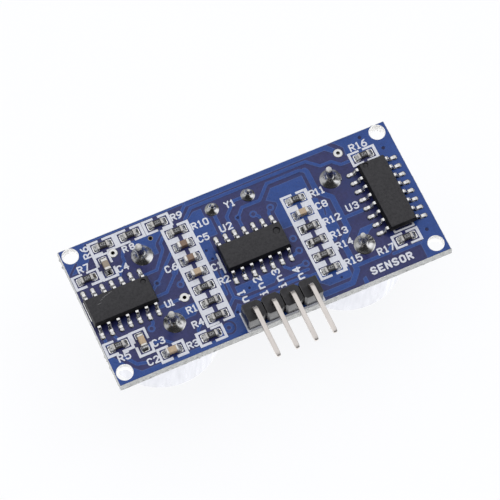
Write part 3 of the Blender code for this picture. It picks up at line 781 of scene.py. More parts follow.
def build_hole_rings():
    """The pale rings that the mask leaves bare round the screw holes, and the wall of the bare hole, whose
    inside is painted near-black as shade.
    """
    bm = bmesh.new()
    for x, y in SCREW_HOLES:
        outer = circle(SCREW_HOLE_RADIUS + SCREW_RING + 0.02, SCREW_HOLE_STEPS, x, y)
        hole = circle(SCREW_HOLE_RADIUS - 0.005, SCREW_HOLE_STEPS, x, y)
        flat_slab(bm, [outer], -BOARD_THICK + 0.01, -0.02, [hole])
    make_piece("board_hole_rings", bm, [HOLE_WALL])

    bm = bmesh.new()
    rim, wall = BARE_HOLE_RADIUS + 0.07, BARE_HOLE_RADIUS - 0.02
    profile = [
        (wall, FRONT_FACE + 0.03), (rim, FRONT_FACE + 0.03), (rim, -0.01), (wall + 0.02, -0.005),
        (wall, -0.04),
    ]
    turned(bm, profile, (*BARE_HOLE, 0), 24, closed=True)
    # Faces inside the hole take the near-black painted shade; the rim keeps the resin colour.
    for face in bm.faces:
        inner = max(hypot(v.co.x - BARE_HOLE[0], v.co.y - BARE_HOLE[1]) for v in face.verts)
        face.material_index = 1 if inner < wall + 0.01 else 0
    make_piece("board_bare_hole", bm, [RESIN_RIM, HOLE_INSIDE_SHADE])


def rear_copper():
    """Tracks and pours on the component side."""
    c = Copper()
    left_copper(c)
    middle_copper(c)
    right_copper(c)
    return c


def left_copper(c):
    """The left end and the left column, with the wide pour below them."""
    c.pour((-22.7, 9.9), (-5.6, 9.9), (-5.6, 9.5), (-19.3, 9.5), (-19.25, 7.6), (-20.3, 6.2), (-22.7, 6.2))
    c.gap(0.3, (-21.2, 7.4), (-22.4, 6.3))
    c.track(0.42, (-15.0, 6.9), (-15.5, 6.0), (-15.5, 5.3), (-16.75, 3.95), (-16.85, 3.3))
    c.pour(
        (-13.7, 7.5), (-9.7, 7.5), (-9.8, 7.0), (-10.85, 6.1), (-11.1, 5.7), (-11.1, 4.6), (-11.7, 4.6),
        (-11.8, 5.6), (-12.5, 6.5), (-13.4, 6.7),
    )
    c.track(0.42, (-9.6, 6.6), (-10.45, 5.75), (-10.5, 4.85), (-12.3, 2.6), (-14.2, 2.55))
    c.track(0.42, (-9.6, 4.15), (-12.5, 1.3), (-13.0, 0.93), (-14.0, 0.1))
    c.via(-13.0, 0.93)
    c.track(0.42, (-9.6, 2.0), (-12.4, -0.7), (-14.2, -0.72))
    c.via(-10.4, 1.35, 0.4, 0.0)
    c.track(0.4, (-10.4, -0.42), (-9.7, 0.25))
    c.ring(-10.4, -0.42)
    c.track(0.4, (-14.2, -2.2), (-10.9, -2.2))
    c.pour((-13.1, -3.35), (-9.6, -3.35), (-9.6, -4.2), (-10.4, -4.95), (-11.8, -4.95), (-12.0, -3.9))
    c.track(0.42, (-15.6, -2.9), (-15.6, -3.8), (-16.1, -4.4))
    c.ring(-16.1, -4.4)
    c.track(0.4, (-17.2, -6.3), (-15.5, -6.3), (-14.3, -7.4))
    c.track(0.4, (-21.95, -3.0), (-21.95, -4.2))
    c.track(0.4, (-20.8, -3.0), (-20.4, -4.2))
    c.track(0.4, (-10.9, -7.3), (-10.9, -6.9), (-10.2, -6.2))
    c.pour((-22.7, -5.9), (-22.0, -5.9), (-20.2, -8.3), (-19.4, -9.05), (-9.0, -9.05), (-7.5, -7.3),
           (-6.1, -7.0), (-5.0, -5.65), (-4.4, -6.2), (4.3, -6.2), (5.2, -7.0), (5.2, -9.9), (-22.7, -9.9))
    c.track(0.45, (-20.6, -6.6), (-19.6, -8.0), (-18.5, -8.25))
    c.gap(0.24, *round_path(-7.33, -8.2, 0.85, 8))
    c.ring(-7.33, -8.2)
    c.via(-5.45, -6.75, 0.4, 0.2)


def middle_copper(c):
    """Copper round the middle chip, from the left column to the right one."""
    c.pour((-6.2, 7.2), (-5.0, 8.1), (-3.85, 8.1), (-3.85, 6.9), (-3.3, 6.3), (-3.3, 4.0), (-4.6, 4.0),
           (-4.6, 0.9), (-6.2, 0.9))
    c.via(-5.57, 2.5, 0.3, 0.17)
    c.via(-5.3, 1.15, 0.3, 0.17)
    c.track(0.5, (-5.75, -0.7), (-5.75, -3.9))
    c.track(0.42, (-5.05, -0.9), (-5.05, -4.7), (-6.2, -5.75))
    c.track(0.42, (-5.05, -4.7), (-3.95, -5.6), (0.65, -5.6), (1.3, -5.05), (5.0, -5.05))
    c.track(0.42, (1.5, -5.75), (4.3, -5.72), (4.75, -6.0), (6.0, -6.0))
    c.pour((-5.5, 9.9), (-5.5, 9.1), (13.9, 9.1), (14.7, 8.35), (15.3, 8.7), (14.3, 9.9))
    c.track(0.42, (-5.6, 9.3), (-6.9, 8.0))
    c.track(0.45, (-6.3, 7.5), (-5.0, 8.7), (11.0, 8.68), (12.5, 7.35), (14.0, 7.35), (15.0, 6.45),
            (16.6, 6.45))
    c.track(0.5, (-2.65, 7.0), (-2.65, 3.3))
    c.track(0.45, (1.6, 7.4), (0.4, 7.4), (-1.35, 5.7), (-1.35, 3.3))
    c.track(0.45, (-0.08, 3.3), (-0.08, 5.0), (0.95, 6.1), (3.4, 6.1), (5.2, 7.88), (9.7, 7.88), (10.4, 7.5))
    c.via(-0.08, 5.03, 0.42, 0.19)
    c.track(0.42, (2.5, 3.3), (2.45, 4.1), (1.9, 4.68))
    c.ring(1.9, 4.68)
    c.track(0.42, (3.72, 3.3), (3.75, 4.1), (4.25, 4.65))
    c.ring(4.25, 4.65)
    c.pour((4.45, 3.9), (5.2, 4.6), (5.2, 5.0), (4.1, 5.75), (5.35, 7.1), (9.75, 7.1), (9.75, 4.6),
           (9.3, 3.9), (9.3, 1.2), (4.45, 1.2))
    for y in (-0.45, -2.25, -4.2):
        c.ring(5.05, y)
    c.track(0.42, (4.0, -2.6), (5.05, -2.25))
    c.track(0.42, (2.4, -3.0), (2.45, -3.6), (3.05, -4.18), (5.05, -4.2))
    c.pour((-4.4, -3.5), (1.5, -3.5), (1.45, -3.85), (0.4, -4.98), (-4.0, -4.98), (-4.4, -4.7))
    c.via(-2.75, -4.35, 0.3, 0.17)


def right_copper(c):
    """The right column, the wide supply track and the right end."""
    c.track(0.75, (10.4, 7.6), (10.56, 7.3), (10.56, 4.2), (12.0, 2.75), (12.0, -2.05), (10.56, -3.45),
            (10.56, -7.6), (9.3, -9.0), (5.4, -9.0))
    c.pour((9.3, 3.6), (10.0, 3.6), (11.05, 2.4), (11.05, -1.5), (9.9, -2.9), (9.3, -2.9))
    c.gap(0.2, (10.35, 3.2), (10.2, 2.4), (10.4, 1.7), (10.2, 0.9))
    c.pour((5.3, -6.3), (9.75, -6.3), (9.75, -7.9), (9.4, -8.2), (6.5, -8.2), (5.6, -7.4))
    c.via(8.35, -7.75, 0.25, 0.14)
    c.track(0.5, (11.0, -7.1), (15.2, -7.1), (16.4, -6.0))
    c.track(0.42, (15.7, -7.5), (19.4, -7.5))
    c.track(0.5, (15.2, -0.47), (12.0, -0.47))
    c.pour((15.2, -2.6), (13.35, -2.65), (12.5, -3.5), (12.4, -4.2), (13.6, -4.0), (14.6, -3.2),
           (15.2, -3.2))
    c.pour((10.6, -9.9), (10.7, -9.0), (11.2, -8.8), (11.25, -9.9))
    c.pour((14.9, 9.9), (15.6, 9.3), (16.25, 8.5), (16.1, 7.4), (16.4, 6.95), (19.9, 6.95), (19.9, -7.15),
           (19.35, -7.7), (19.35, -9.9), (22.8, -9.9), (22.8, 9.9))
    for x, y in ((18.8, 8.97), (20.95, 6.4), (20.97, -6.15)):
        c.via(x, y, 0.3, 0.24)


def front_copper():
    """Tracks and pours on the side of the transducers."""
    c = Copper()
    c.pour((-22.7, -9.9), (22.7, -9.9), (22.7, 9.9), (-22.7, 9.9))
    for x in (-13.18, 12.92):
        for y in (-4.83, 5.17):
            c.gap(0.3, *round_path(x, y, 1.7, 8))
    for width, opening, *path in (
        (0.4, 0.9, (-3.9, -6.2), (-3.9, 2.0), (-5.6, 3.8), (-5.6, 9.3), (-12.0, 9.3)),
        (0.4, 0.9, (-1.4, -6.2), (-1.4, 1.0), (3.2, 5.6), (3.2, 9.2)),
        (0.4, 0.9, (1.1, -6.2), (1.1, -1.0), (4.6, 2.5), (4.6, 9.2), (20.0, 9.2)),
        (0.6, 1.1, (3.7, -6.4), (3.7, -3.0), (5.2, -1.5)),
    ):
        c.gap(opening, *path)
        c.track(width, *path)
    left, right = [(-21.6, 4.5), (-21.6, -3.0)], [(21.5, 4.0), (21.5, -3.5)]
    for x, y in (*left, *right, (0.5, 2.0), (-2.3, -8.9), (2.6, -9.0)):
        c.via(x, y, 0.3, 0.17)
    return c


# Name on the legend, its box and whether it reads up the board. "SENSOR" and the pin labels are
# generic words.
MARKS = [
    ("R6", -20.0, -18.95, 7.5, 9.2, True),
    ("R7", -21.4, -19.8, 6.0, 7.0),
    ("R8", -15.15, -13.5, 6.35, 7.3),
    ("C4", -16.85, -15.25, 4.1, 5.1),
    ("C6", -11.4, -9.75, 1.6, 2.6),
    ("U1", -13.3, -12.0, -2.7, -1.7),
    ("R1", -11.2, -9.75, -4.55, -3.55),
    ("R4", -11.35, -9.8, -6.6, -5.6),
    ("R5", -21.5, -19.85, -7.0, -5.95),
    ("C3", -16.85, -15.2, -6.85, -5.85),
    ("C2", -18.4, -16.8, -8.9, -7.9),
    ("R3", -13.05, -11.5, -8.9, -7.9),
    ("R9", -7.85, -6.3, 7.9, 8.9),
    ("R10", -5.95, -3.65, 5.7, 6.7),
    ("C5", -6.0, -4.45, 3.75, 4.75),
    ("C1", -6.0, -4.5, -0.5, 0.5),
    ("R2", -5.95, -4.45, -2.6, -1.6),
    ("U2", -2.85, -1.15, 3.9, 4.95),
    ("Y1", -0.95, 0.5, 6.7, 7.7),
    ("R11", 9.5, 11.6, 3.7, 4.75),
    ("C8", 9.5, 11.1, 1.85, 2.85),
    ("R12", 9.5, 11.85, -0.5, 0.5),
    ("R13", 9.5, 11.85, -2.55, -1.55),
    ("R14", 9.5, 11.8, -4.2, -3.2),
    ("R15", 9.5, 11.85, -6.75, -5.7),
    ("U3", 12.9, 14.6, 0.0, 1.05),
    ("R16", 16.9, 19.3, 7.5, 8.55),
    ("R17", 13.9, 16.25, -7.05, -6.05),
]
TITLE = ("SENSOR", 12.0, 17.8, -9.15, -8.05)
PIN_LABELS = [("pin1", -3.45, -8.05), ("pin2", -0.85, -7.2), ("pin3", 1.68, -7.2), ("pin4", 4.2, -8.05)]
HEADER_BACK = -6.95

# First row, its distance to the next one and half the height of a part's window.
ROW, ROW_PITCH, HALF_WINDOW = 6.4, 2.1, 0.67
COLUMN_RIM = 0.32
# Outer edge, both window edges and outer edge of each column, its rows and the gap in its bars.
COLUMNS = [
    (-9.76, -9.36, -6.42, -6.0, range(0, 7), (-8.07, -7.53)),
    (5.8, 6.14, 9.02, 9.5, range(1, 7), (7.4, 7.95)),
]
# Frame, window and gap of the parts that lie along the board, and of those that stand across it.
FRAMES = [
    ((-19.0, -15.36, 7.38, 9.39), (-18.64, -15.72, 7.69, 9.08), (-17.5, -16.95)),
    ((-15.37, -11.62, 7.38, 9.39), (-15.0, -12.0, 7.69, 9.08), (-13.73, -13.15)),
    ((-11.57, -7.88, 7.38, 9.39), (-11.22, -8.22, 7.69, 9.08), (-9.97, -9.35)),
    ((-22.59, -18.94, 3.89, 5.94), (-22.26, -19.28, 4.24, 5.67), (-21.08, -20.5)),
    ((-22.59, -18.94, -5.94, -3.87), (-22.26, -19.28, -5.59, -4.17), (-21.08, -20.55)),
    ((-16.8, -13.13, -9.31, -7.2), (-16.48, -13.5, -8.92, -7.52), (-15.2, -14.65)),
    ((-11.58, -7.87, -9.31, -7.24), (-11.22, -8.22, -8.97, -7.55), (-10.07, -9.5)),
    ((16.26, 20.02, 5.4, 7.41), (16.59, 19.64, 5.74, 7.13), (17.85, 18.35)),
    ((16.26, 20.02, -7.2, -5.24), (16.59, 19.64, -6.91, -5.53), (17.85, 18.35)),
]
UPRIGHT_FRAMES = [
    ((-19.0, -16.83, 3.8, 7.4), (-18.64, -17.13, 4.13, 7.13), (5.25, 5.85)),
    ((-19.0, -16.83, -7.44, -3.81), (-18.64, -17.13, -7.11, -4.11), (-5.95, -5.4)),
]
LEGEND_PATHS = [
    [(-4.62, 1.45), (-4.62, -1.25)],
    [(17.12, -3.6), (17.12, -4.95), (19.72, -4.95), (19.72, -3.6)],
    [(-5.27, -7.1), (-5.27, -9.68), (5.07, -9.68), (5.07, -8.7)],
]


def column_frames():
    """The ladder of frames round each column of chip parts."""
    polygons = []
    for left, wx0, wx1, right, rows, gap in COLUMNS:
        top = ROW - rows[0] * ROW_PITCH + HALF_WINDOW
        bottom = ROW - rows[-1] * ROW_PITCH - HALF_WINDOW
        polygons.append(box_outline(left, wx0, bottom - COLUMN_RIM, top + COLUMN_RIM))
        polygons.append(box_outline(wx1, right, bottom - COLUMN_RIM, top + COLUMN_RIM))
        levels = [(top, top + COLUMN_RIM), (bottom - COLUMN_RIM, bottom)]
        for row in rows[:-1]:
            y = ROW - row * ROW_PITCH
            levels.append((y - ROW_PITCH + HALF_WINDOW, y - HALF_WINDOW))
        for low, high in levels:
            polygons.append(box_outline(left, gap[0], low, high))
            polygons.append(box_outline(gap[1], right, low, high))
    return polygons


def rear_lines():
    """The outlines and names on the component side, as strokes."""
    lines = []
    for path in LEGEND_PATHS:
        lines += segments(path, WIDE_LINE)
    for mark in MARKS:
        lines += lettering(*mark)
    lines += lettering(*TITLE, weight=WIDE_LINE)
    for label, x, y in PIN_LABELS:
        strokes = lettering(label, x - 1.12, x, y, y + 3.9, upright=True, weight=0.21)
        lines += [stroke for stroke in strokes if min(stroke[0][1], stroke[1][1]) > HEADER_BACK]
    return lines


def rear_legend():
    """White legend on the component side: frames round the chip parts, outlines and names."""
    polygons = column_frames()
    for frame_parts in FRAMES:
        polygons += brackets(*frame_parts)
    for frame_parts in UPRIGHT_FRAMES:
        polygons += brackets(*frame_parts, upright=True)
    polygons.append(box_outline(-16.6, -15.0, 7.38, 7.6))
    polygons += [capsule(line) for line in rear_lines()]

    bm = bmesh.new()
    flat_slab(bm, polygons, LEGEND_LOW, LEGEND_HIGH)
    make_piece("board_legend_rear", bm, [LEGEND])


def front_legend():
    """White legend on the transducers' side: their circles, the crystal and pin numbers."""
    lines = []
    for kind in ("receiver", "transmitter"):
        spot = middle(f"{kind}_case")
        lines += segments(round_path(spot.x, spot.y, CAN_CIRCLE, 36), LINE)
    spot = middle("crystal_can")
    ring = [(spot.x + x, spot.y + y) for x, y in rounded_rect(11.7, 5.2, 2.55, 8)]
    lines += segments([*ring, ring[0]], LINE)
    header = middle("header_housing")
    for way in range(4):
        x = header.x + (way - 1.5) * HEADER_PITCH
        lines += lettering(str(4 - way), x - 0.35, x + 0.35, -6.75, -5.75)
    y0, y1 = header.y - 1.35, header.y + 1.35
    left, right = header.x - 5.2, header.x + 5.2
    lines += segments([(left, y0), (right, y0), (right, y1), (left, y1), (left, y0)], LINE)
    kept = [
        line for line in lines
        if max(abs(line[0][1]), abs(line[1][1])) < HALF_Y - LEGEND_MARGIN
        and max(abs(line[0][0]), abs(line[1][0])) < HALF_X - LEGEND_MARGIN
    ]
    bm = bmesh.new()
    flat_slab(bm, [capsule(line) for line in kept], LEGEND_LOW, LEGEND_HIGH)
    flipped(bm)
    make_piece("board_legend_front", bm, [LEGEND])


def build_masks():
    outline = box_outline(MASK_X0, MASK_X1, MASK_Y0, MASK_Y1)
    rim = SCREW_HOLE_RADIUS + SCREW_RING
    holes = [circle(rim, SCREW_HOLE_STEPS, x, y) for x, y in SCREW_HOLES]
    holes += [circle(RING_PAD_RADIUS + 0.02, 24, x, y) for x, y in RING_PADS]
    holes.append(circle(BARE_HOLE_RADIUS + 0.08, 20, *BARE_HOLE))
    finishes = [MASK_BASE, MASK_COPPER, MASK_EDGE, MASK_VIA]
    for side, copper in (("rear", rear_copper()), ("front", front_copper())):
        bm = mask_sheet(copper, outline, holes, MASK_LEVEL, MASK_BOTTOM)
        if side == "front":
            flipped(bm)
        make_piece(f"board_mask_{side}", bm, finishes, smooth=60)


def build_ring_pads():
    """The bare plated rings of the empty holes, on both faces."""
    bm = bmesh.new()
    for x, y in RING_PADS:
        profile = [
            (RING_HOLE_RADIUS - 0.02, FRONT_FACE - PAD_LEVEL),
            (RING_PAD_RADIUS - 0.05, FRONT_FACE - PAD_LEVEL),
            (RING_PAD_RADIUS, FRONT_FACE),
            (RING_PAD_RADIUS, 0.0),
            (RING_PAD_RADIUS - 0.06, PAD_LEVEL + 0.02),
            (RING_HOLE_RADIUS + 0.1, PAD_LEVEL + 0.03),
            (RING_HOLE_RADIUS, PAD_LEVEL),
            (RING_HOLE_RADIUS - 0.02, PAD_LEVEL - 0.05),
        ]
        turned(bm, profile, (x, y, 0), 28, closed=True)
    x, y = RING_PADS[1]
    tail = [(x + 0.3, y + 0.35), (x + 0.3, y - 0.35), (x + 0.78, y - 0.05), (x + 0.78, y + 0.05)]
    for outline in (tail, [(2 * x - px, py) for px, py in tail]):
        flat_slab(bm, [outline], -0.05, PAD_LEVEL)
    make_piece("board_ring_pads", bm, [TIN])


# ---------------------------------------------------------------- chips

CHIP_WIDTH, CHIP_BOTTOM, CHIP_WAIST = 3.9, 0.2, 0.8
DRAFT = 0.27
# Steep faces that reach lower than this under the top get the painted shade.
SHADE_BELOW = 0.055
# A lead's centre line as (distance from the chip's middle, height).
LEAD_PATH = [
    (1.7, 0.8), (2.1, 0.8), (2.16, 0.785), (2.22, 0.74), (2.27, 0.67), (2.5, 0.32), (2.54, 0.24),
    (2.6, 0.175), (2.69, 0.135), (3.02, 0.12),
]


def build_chip(node, pins_per_side, along_y, dimple):
    """A moulded body with its pin 1 dimple, gull-wing leads and the solder at their feet."""
    low, high = node_box(node)
    centre = (low + high) / 2
    length = high.y - low.y if along_y else high.x - low.x
    turn = Matrix.Rotation(pi / 2 if along_y else 0.0, 4, "Z")
    place = Matrix.Translation((centre.x, centre.y, 0)) @ turn
    bm = chip_body(length, high.z, dimple)
    bm.transform(place)
    make_piece(f"{node}_body", bm, [CHIP_RESIN, CHIP_SIDE_SHADE], [node], smooth=30)
    leads, joints = chip_leads(centre, pins_per_side)
    leads.transform(place)
    joints.transform(place)
    make_piece(f"{node}_leads", leads, [LEAD_TIN])
    make_piece(f"{node}_solder", joints, [TOE_SOLDER])


def chip_body(length, top, dimple):
    """Tapers both ways from its parting line; steep faces take the second material, a near-black copy of the
    resin that is painted shade.
    """
    rings = []
    for z, side in (
        (CHIP_BOTTOM, DRAFT), (CHIP_WAIST - 0.06, 0.01), (CHIP_WAIST, 0.0), (CHIP_WAIST + 0.06, 0.01),
        (top - 0.05, DRAFT - 0.015), (top - 0.015, DRAFT + 0.005), (top, DRAFT + 0.04),
    ):
        outline = rounded_rect(length - 1.2 * side, CHIP_WIDTH - 2 * side, 0.09, 3)
        rings.append(at_height(outline, z))
    bm = bmesh.new()
    loft(bm, rings, capped=False)
    bm.faces.new([v for v in bm.verts if abs(v.co.z - CHIP_BOTTOM) < 1e-6][::-1])
    add_dimpled_lid(bm, [point[:2] for point in rings[-1]], top, dimple)
    bmesh.ops.remove_doubles(bm, verts=bm.verts, dist=1e-4)
    bm.normal_update()
    # Steep faces below the top's edge take the near-black painted shade.
    for face in bm.faces:
        lowest = min(vert.co.z for vert in face.verts)
        face.material_index = int(lowest < top - SHADE_BELOW and abs(face.normal.z) < 0.9)
    return bm


def add_dimpled_lid(bm, rim, top, dimple):
    """The flat top inside its rim, with a round dish as (x, y, radius, depth)."""
    x, y, radius, depth = dimple
    flat, triangles = plan([rim], [circle(radius, 28, x, y)])
    lid = [bm.verts.new((*point, top)) for point in flat]
    for triangle in triangles:
        bm.faces.new([lid[i] for i in triangle])
    dish = [
        at_height(circle(radius * size, 28, x, y), top - depth * down)
        for size, down in ((1.0, 0.0), (0.92, 0.75), (0.76, 0.97), (0.5, 1.0))
    ]
    loops = [[bm.verts.new(p) for p in ring] for ring in dish]
    for upper, lower in zip(loops, loops[1:]):
        for i in range(len(upper)):
            j = (i + 1) % len(upper)
            bm.faces.new((upper[i], upper[j], lower[j], lower[i]))
    bm.faces.new(loops[-1])


def chip_leads(centre, pins_per_side):
    """The leads of both sides, and the solder at their toes with its pads."""
    leads, joints = bmesh.new(), bmesh.new()
    section = rounded_rect(0.42, 0.2, 0.045, 2)
    for side in (-1, 1):
        for i in range(pins_per_side):
            x = (i - (pins_per_side - 1) / 2) * LEAD_PITCH
            spots = [(x, side * out, z) for out, z in LEAD_PATH]
            sweep(leads, spots, section, Vector((-side, 0, 0)))
            wave = noise.noise(Vector((centre.x + x * 1.3, centre.y + side * 4, 0.5)))
            foot_y = side * (3.2 + 0.05 * wave)
            outline = rounded_rect(0.7 + 0.05 * wave, 0.76 + 0.15 * wave, 0.32, 5, x, foot_y)
            dome(joints, outline, 0.0, 0.2 + 0.06 * wave, 0.36)
            toe = rounded_rect(0.54, 1.26, 0.26, 4, x, side * 2.83)
            loft(joints, [at_height(toe, -0.05), at_height(toe, PAD_LEVEL)])
    return leads, joints


def build_tie_bar(node):
    """The bright cut metal that shows along the parting line of a chip's left end."""
    low, high = node_box(node)
    bm = bmesh.new()
    soft_box(bm, (low.x, (low.y + high.y) / 2 + 0.35, 0.81), (0.16, 2.7, 0.06), 0.015, steps=2)
    make_piece(f"{node}_tie_bar", bm, [LEAD_TIN])


def build_scuffs(node):
    """Faint handling marks on a chip's top."""
    low, high = node_box(node)
    centre = (low + high) / 2
    bm = bmesh.new()
    marks = []
    for number in range(9):
        row = 0.5 if number < 2 else 0.83 + 0.07 * number
        start_x = centre.x - 2.95 + 0.24 * number + 0.2 * noise.noise(Vector((number * 1.7, 0, 0)))
        start_y = centre.y + row + 0.15 * noise.noise(Vector((0, number * 2.3, 0)))
        reach = 0.4 + 0.3 * noise.noise(Vector((number * 3.1, 5, 0)))
        end = (start_x + reach, start_y + 0.15 * reach)
        marks.append(((start_x, start_y), end, 0.014 + 0.006 * (number % 3)))
    flat_slab(bm, [capsule(mark, steps=3) for mark in marks], high.z - 0.02, high.z + 0.003)
    make_piece(f"{node}_scuffs", bm, [SCUFF])


# ---------------------------------------------------------------- chip resistors and capacitors


FILLET_SHARE = 0.66


def end_fillets(bm, place, height):
    """Pads and the solder drawn up to both ends of a chip part."""
    part = bmesh.new()
    for side in (-1, 1):
        outline = rounded_rect(0.8, 1.0, 0.2, 4, side * 0.92, 0)
        crest = rounded_rect(0.1, 0.72, 0.04, 4, side * 0.79, 0)
        blend(part, outline, crest, 0.0, height, 1.45)
        pad = rounded_rect(0.85, 1.06, 0.22, 4, side * 0.92, 0)
        loft(part, [at_height(pad, -0.05), at_height(pad, PAD_LEVEL)])
    part.transform(place)
    mesh = bpy.data.meshes.new("part")
    part.to_mesh(mesh)
    part.free()
    bm.from_mesh(mesh)
    bpy.data.meshes.remove(mesh)


def resistor_body(node, low, high, place):
    """A chip with a dark glazed top, plated ends and a generic value code; the near-black of its alumina
    sides is painted shade.
    """
    height = high - low
    level = low + height / 2
    bm = bmesh.new()
    # The body's near-black sides are painted shade, not the white alumina's own colour.
    soft_box(bm, (0, 0, level), (1.5, 0.78, height - 0.04), 0.03, 0)
    soft_box(bm, (0, 0, low + height - 0.03), (0.98, 0.76, 0.08), 0.03, 1)
    for side in (-1, 1):
        soft_box(bm, (side * 0.635, 0, level), (0.34, 0.82, height), 0.05, 2)
    code = bmesh.new()
    digits = ("103", "222", "472", "104")[sum(map(ord, node)) % 4]
    strokes = lettering(digits, -0.38, 0.38, -0.2, 0.2, weight=0.05)
    top = low + height + 0.01
    flat_slab(code, [capsule(stroke, steps=2) for stroke in strokes], top - 0.02, top + 0.005)
    code.transform(place)
    make_piece(f"{node}_code", code, [CODE_INK])
    return bm, [RESISTOR_SIDE_SHADE, GLAZE, CHIP_END]


def capacitor_body(node, low, high):
    height = high - low
    level = low + height / 2
    bm = bmesh.new()
    soft_box(bm, (0, 0, level), (1.5, 0.78, height - 0.02), 0.05, 0)
    finish, end = CAPACITORS.get(node, (CERAMIC, SHORT_END))
    for side in (-1, 1):
        soft_box(bm, (side * (0.81 - end / 2), 0, level), (end, 0.84, height + 0.02), 0.09, 1, 4)
    return bm, [finish, CAPACITOR_END]


def build_chip_part(node):
    """A resistor or capacitor, set a little askew; returns its place and its solder's top."""
    low, high = node_box(node)
    centre = (low + high) / 2
    upright = high.y - low.y > high.x - low.x
    turn = Matrix.Rotation(pi / 2 if upright else 0.0, 4, "Z")
    skew = radians(1.6) * noise.noise(Vector((centre.x * 3, centre.y * 3, 0)))
    place = Matrix.Translation((centre.x, centre.y, 0)) @ turn @ Matrix.Rotation(skew, 4, "Z")
    if node.startswith("resistor"):
        bm, finishes = resistor_body(node, low.z, high.z, place)
    else:
        bm, finishes = capacitor_body(node, low.z, high.z)
    bm.transform(place)
    make_piece(f"{node}_body", bm, finishes, [node])
    return place, low.z + (high.z - low.z) * FILLET_SHARE


def build_chip_parts():
    joints = bmesh.new()
    for node in sorted(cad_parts):
        if node.startswith(("resistor_", "capacitor_")):
            place, height = build_chip_part(node)
            end_fillets(joints, place, height)
    make_piece("chip_part_solder", joints, [FILLET])


# ---------------------------------------------------------------- pin header


def header_pins():
    return [middle(f"header_pin_{number}").x for number in range(1, 5)]


def header_block(bm, x0, x1, y0, y1, low, high, left, right):
    """One way of the strip; left and right are its corner cuts on those sides."""
    outline = [
        (x0, y0 + left), (x0 + left, y0), (x1 - right, y0), (x1, y0 + right),
        (x1, y1 - right), (x1 - right, y1), (x0 + left, y1), (x0, y1 - left),
    ]
    rings = [
        at_height(inset(outline, 0.04), low),
        at_height(outline, low + 0.04),
        at_height(outline, high - 0.08),
        at_height(inset(outline, 0.02), high - 0.025),
        at_height(inset(outline, 0.07), high),
    ]
    loft(bm, rings)


def build_header():
    """Four blocks with cut corners, joined by webs that lie deeper than the blocks' tops."""
    low, high = node_box("header_housing")
    groove, web_drop = 0.13, 0.5
    end_cut, left_cut, right_cut = 0.12, 0.26, 0.44
    centres = header_pins()
    bm = bmesh.new()
    for x in centres:
        x0, x1 = x - HEADER_PITCH / 2, x + HEADER_PITCH / 2
        first, last = x == centres[0], x == centres[-1]
        header_block(
            bm, x0 if first else x0 + groove / 2, x1 if last else x1 - groove / 2, low.y, high.y,
            low.z, high.z, end_cut if first else left_cut, end_cut if last else right_cut,
        )
        if not last:
            web = box_outline(x1 - 0.3, x1 + 0.3, low.y + 0.48, high.y - 0.48)
            loft(bm, [at_height(web, low.z + 0.02), at_height(web, high.z - web_drop)])
    bm.normal_update()
    for face in bm.faces:
        face.material_index = int(face.normal.z > 0.9)
    make_piece("header_strip", bm, [NYLON, NYLON_TOP], ["header_housing"], smooth=25)

    joints = bmesh.new()
    for number, x in enumerate(centres, start=1):
        upright_y = build_header_pin(f"header_pin_{number}", x)
        profile = [(1.0, 0.0), (0.93, 0.12), (0.7, 0.4), (0.5, 0.75), (0.38, 1.0), (0.2, 1.08)]
        turned(joints, profile, (x, upright_y, 0.0), 24)
    flipped(joints)
    make_piece("header_solder", joints, [SOLDER])


def build_header_pin(node, x):
    """A square pin with one round bend and a tapered tip; returns where its tail stands in y."""
    low, high = node_box(node)
    side, bend, bend_steps = 0.59, 0.8, 6
    run_z = high.z - side / 2
    upright_y = high.y - side / 2
    path = [(x, upright_y, low.z), (x, upright_y, low.z + 0.45), (x, upright_y, run_z - bend)]
    for step in range(1, bend_steps + 1):
        angle = pi / 2 * step / bend_steps
        path.append((x, upright_y - bend * (1 - cos(angle)), run_z - bend * (1 - sin(angle))))
    path += [(x, low.y + 0.5, run_z), (x, low.y + 0.1, run_z), (x, low.y, run_z)]
    sizes = [0.5] + [1.0] * (len(path) - 3) + [0.84, 0.62]
    pin = bmesh.new()
    sweep(pin, path, rounded_rect(side, side, 0.035, 2), Vector((1, 0, 0)), sizes=sizes)
    make_piece(f"{node}_plated", pin, [PIN_PLATE], [node], smooth=30)
    return upright_y


# ---------------------------------------------------------------- leads and their solder


def solder_cone(bm, x, y, radius, height, neck, seed, lean):
    """A joint that is drawn up to its lead, a little uneven round its rim."""
    shape = (
        (1.0, 0.0), (0.97, 0.03), (0.8, 0.13), (0.62, 0.27), (0.45, 0.42), (0.3, 0.58), (0.17, 0.75),
        (0.08, 0.9),
    )
    steps = 48
    rings = []
    for size, share in shape:
        ring = []
        for step in range(steps):
            angle = 2 * pi * step / steps
            around = Vector((cos(angle), sin(angle), 0)) * 0.7 + Vector((seed, seed * 0.7, share * 0.3))
            reach = neck + (radius - neck) * size * (1 + 0.07 * noise.noise(around))
            ring.append(
                (
                    x + lean * share * height + reach * cos(angle),
                    y + reach * sin(angle),
                    share * height,
                )
            )
        rings.append(ring)
    rings.append(at_height(circle(neck * 0.94, steps, x + lean * height, y), height))
    loft(bm, rings)


SLANT = 0.3
LEAD_STEPS = 20


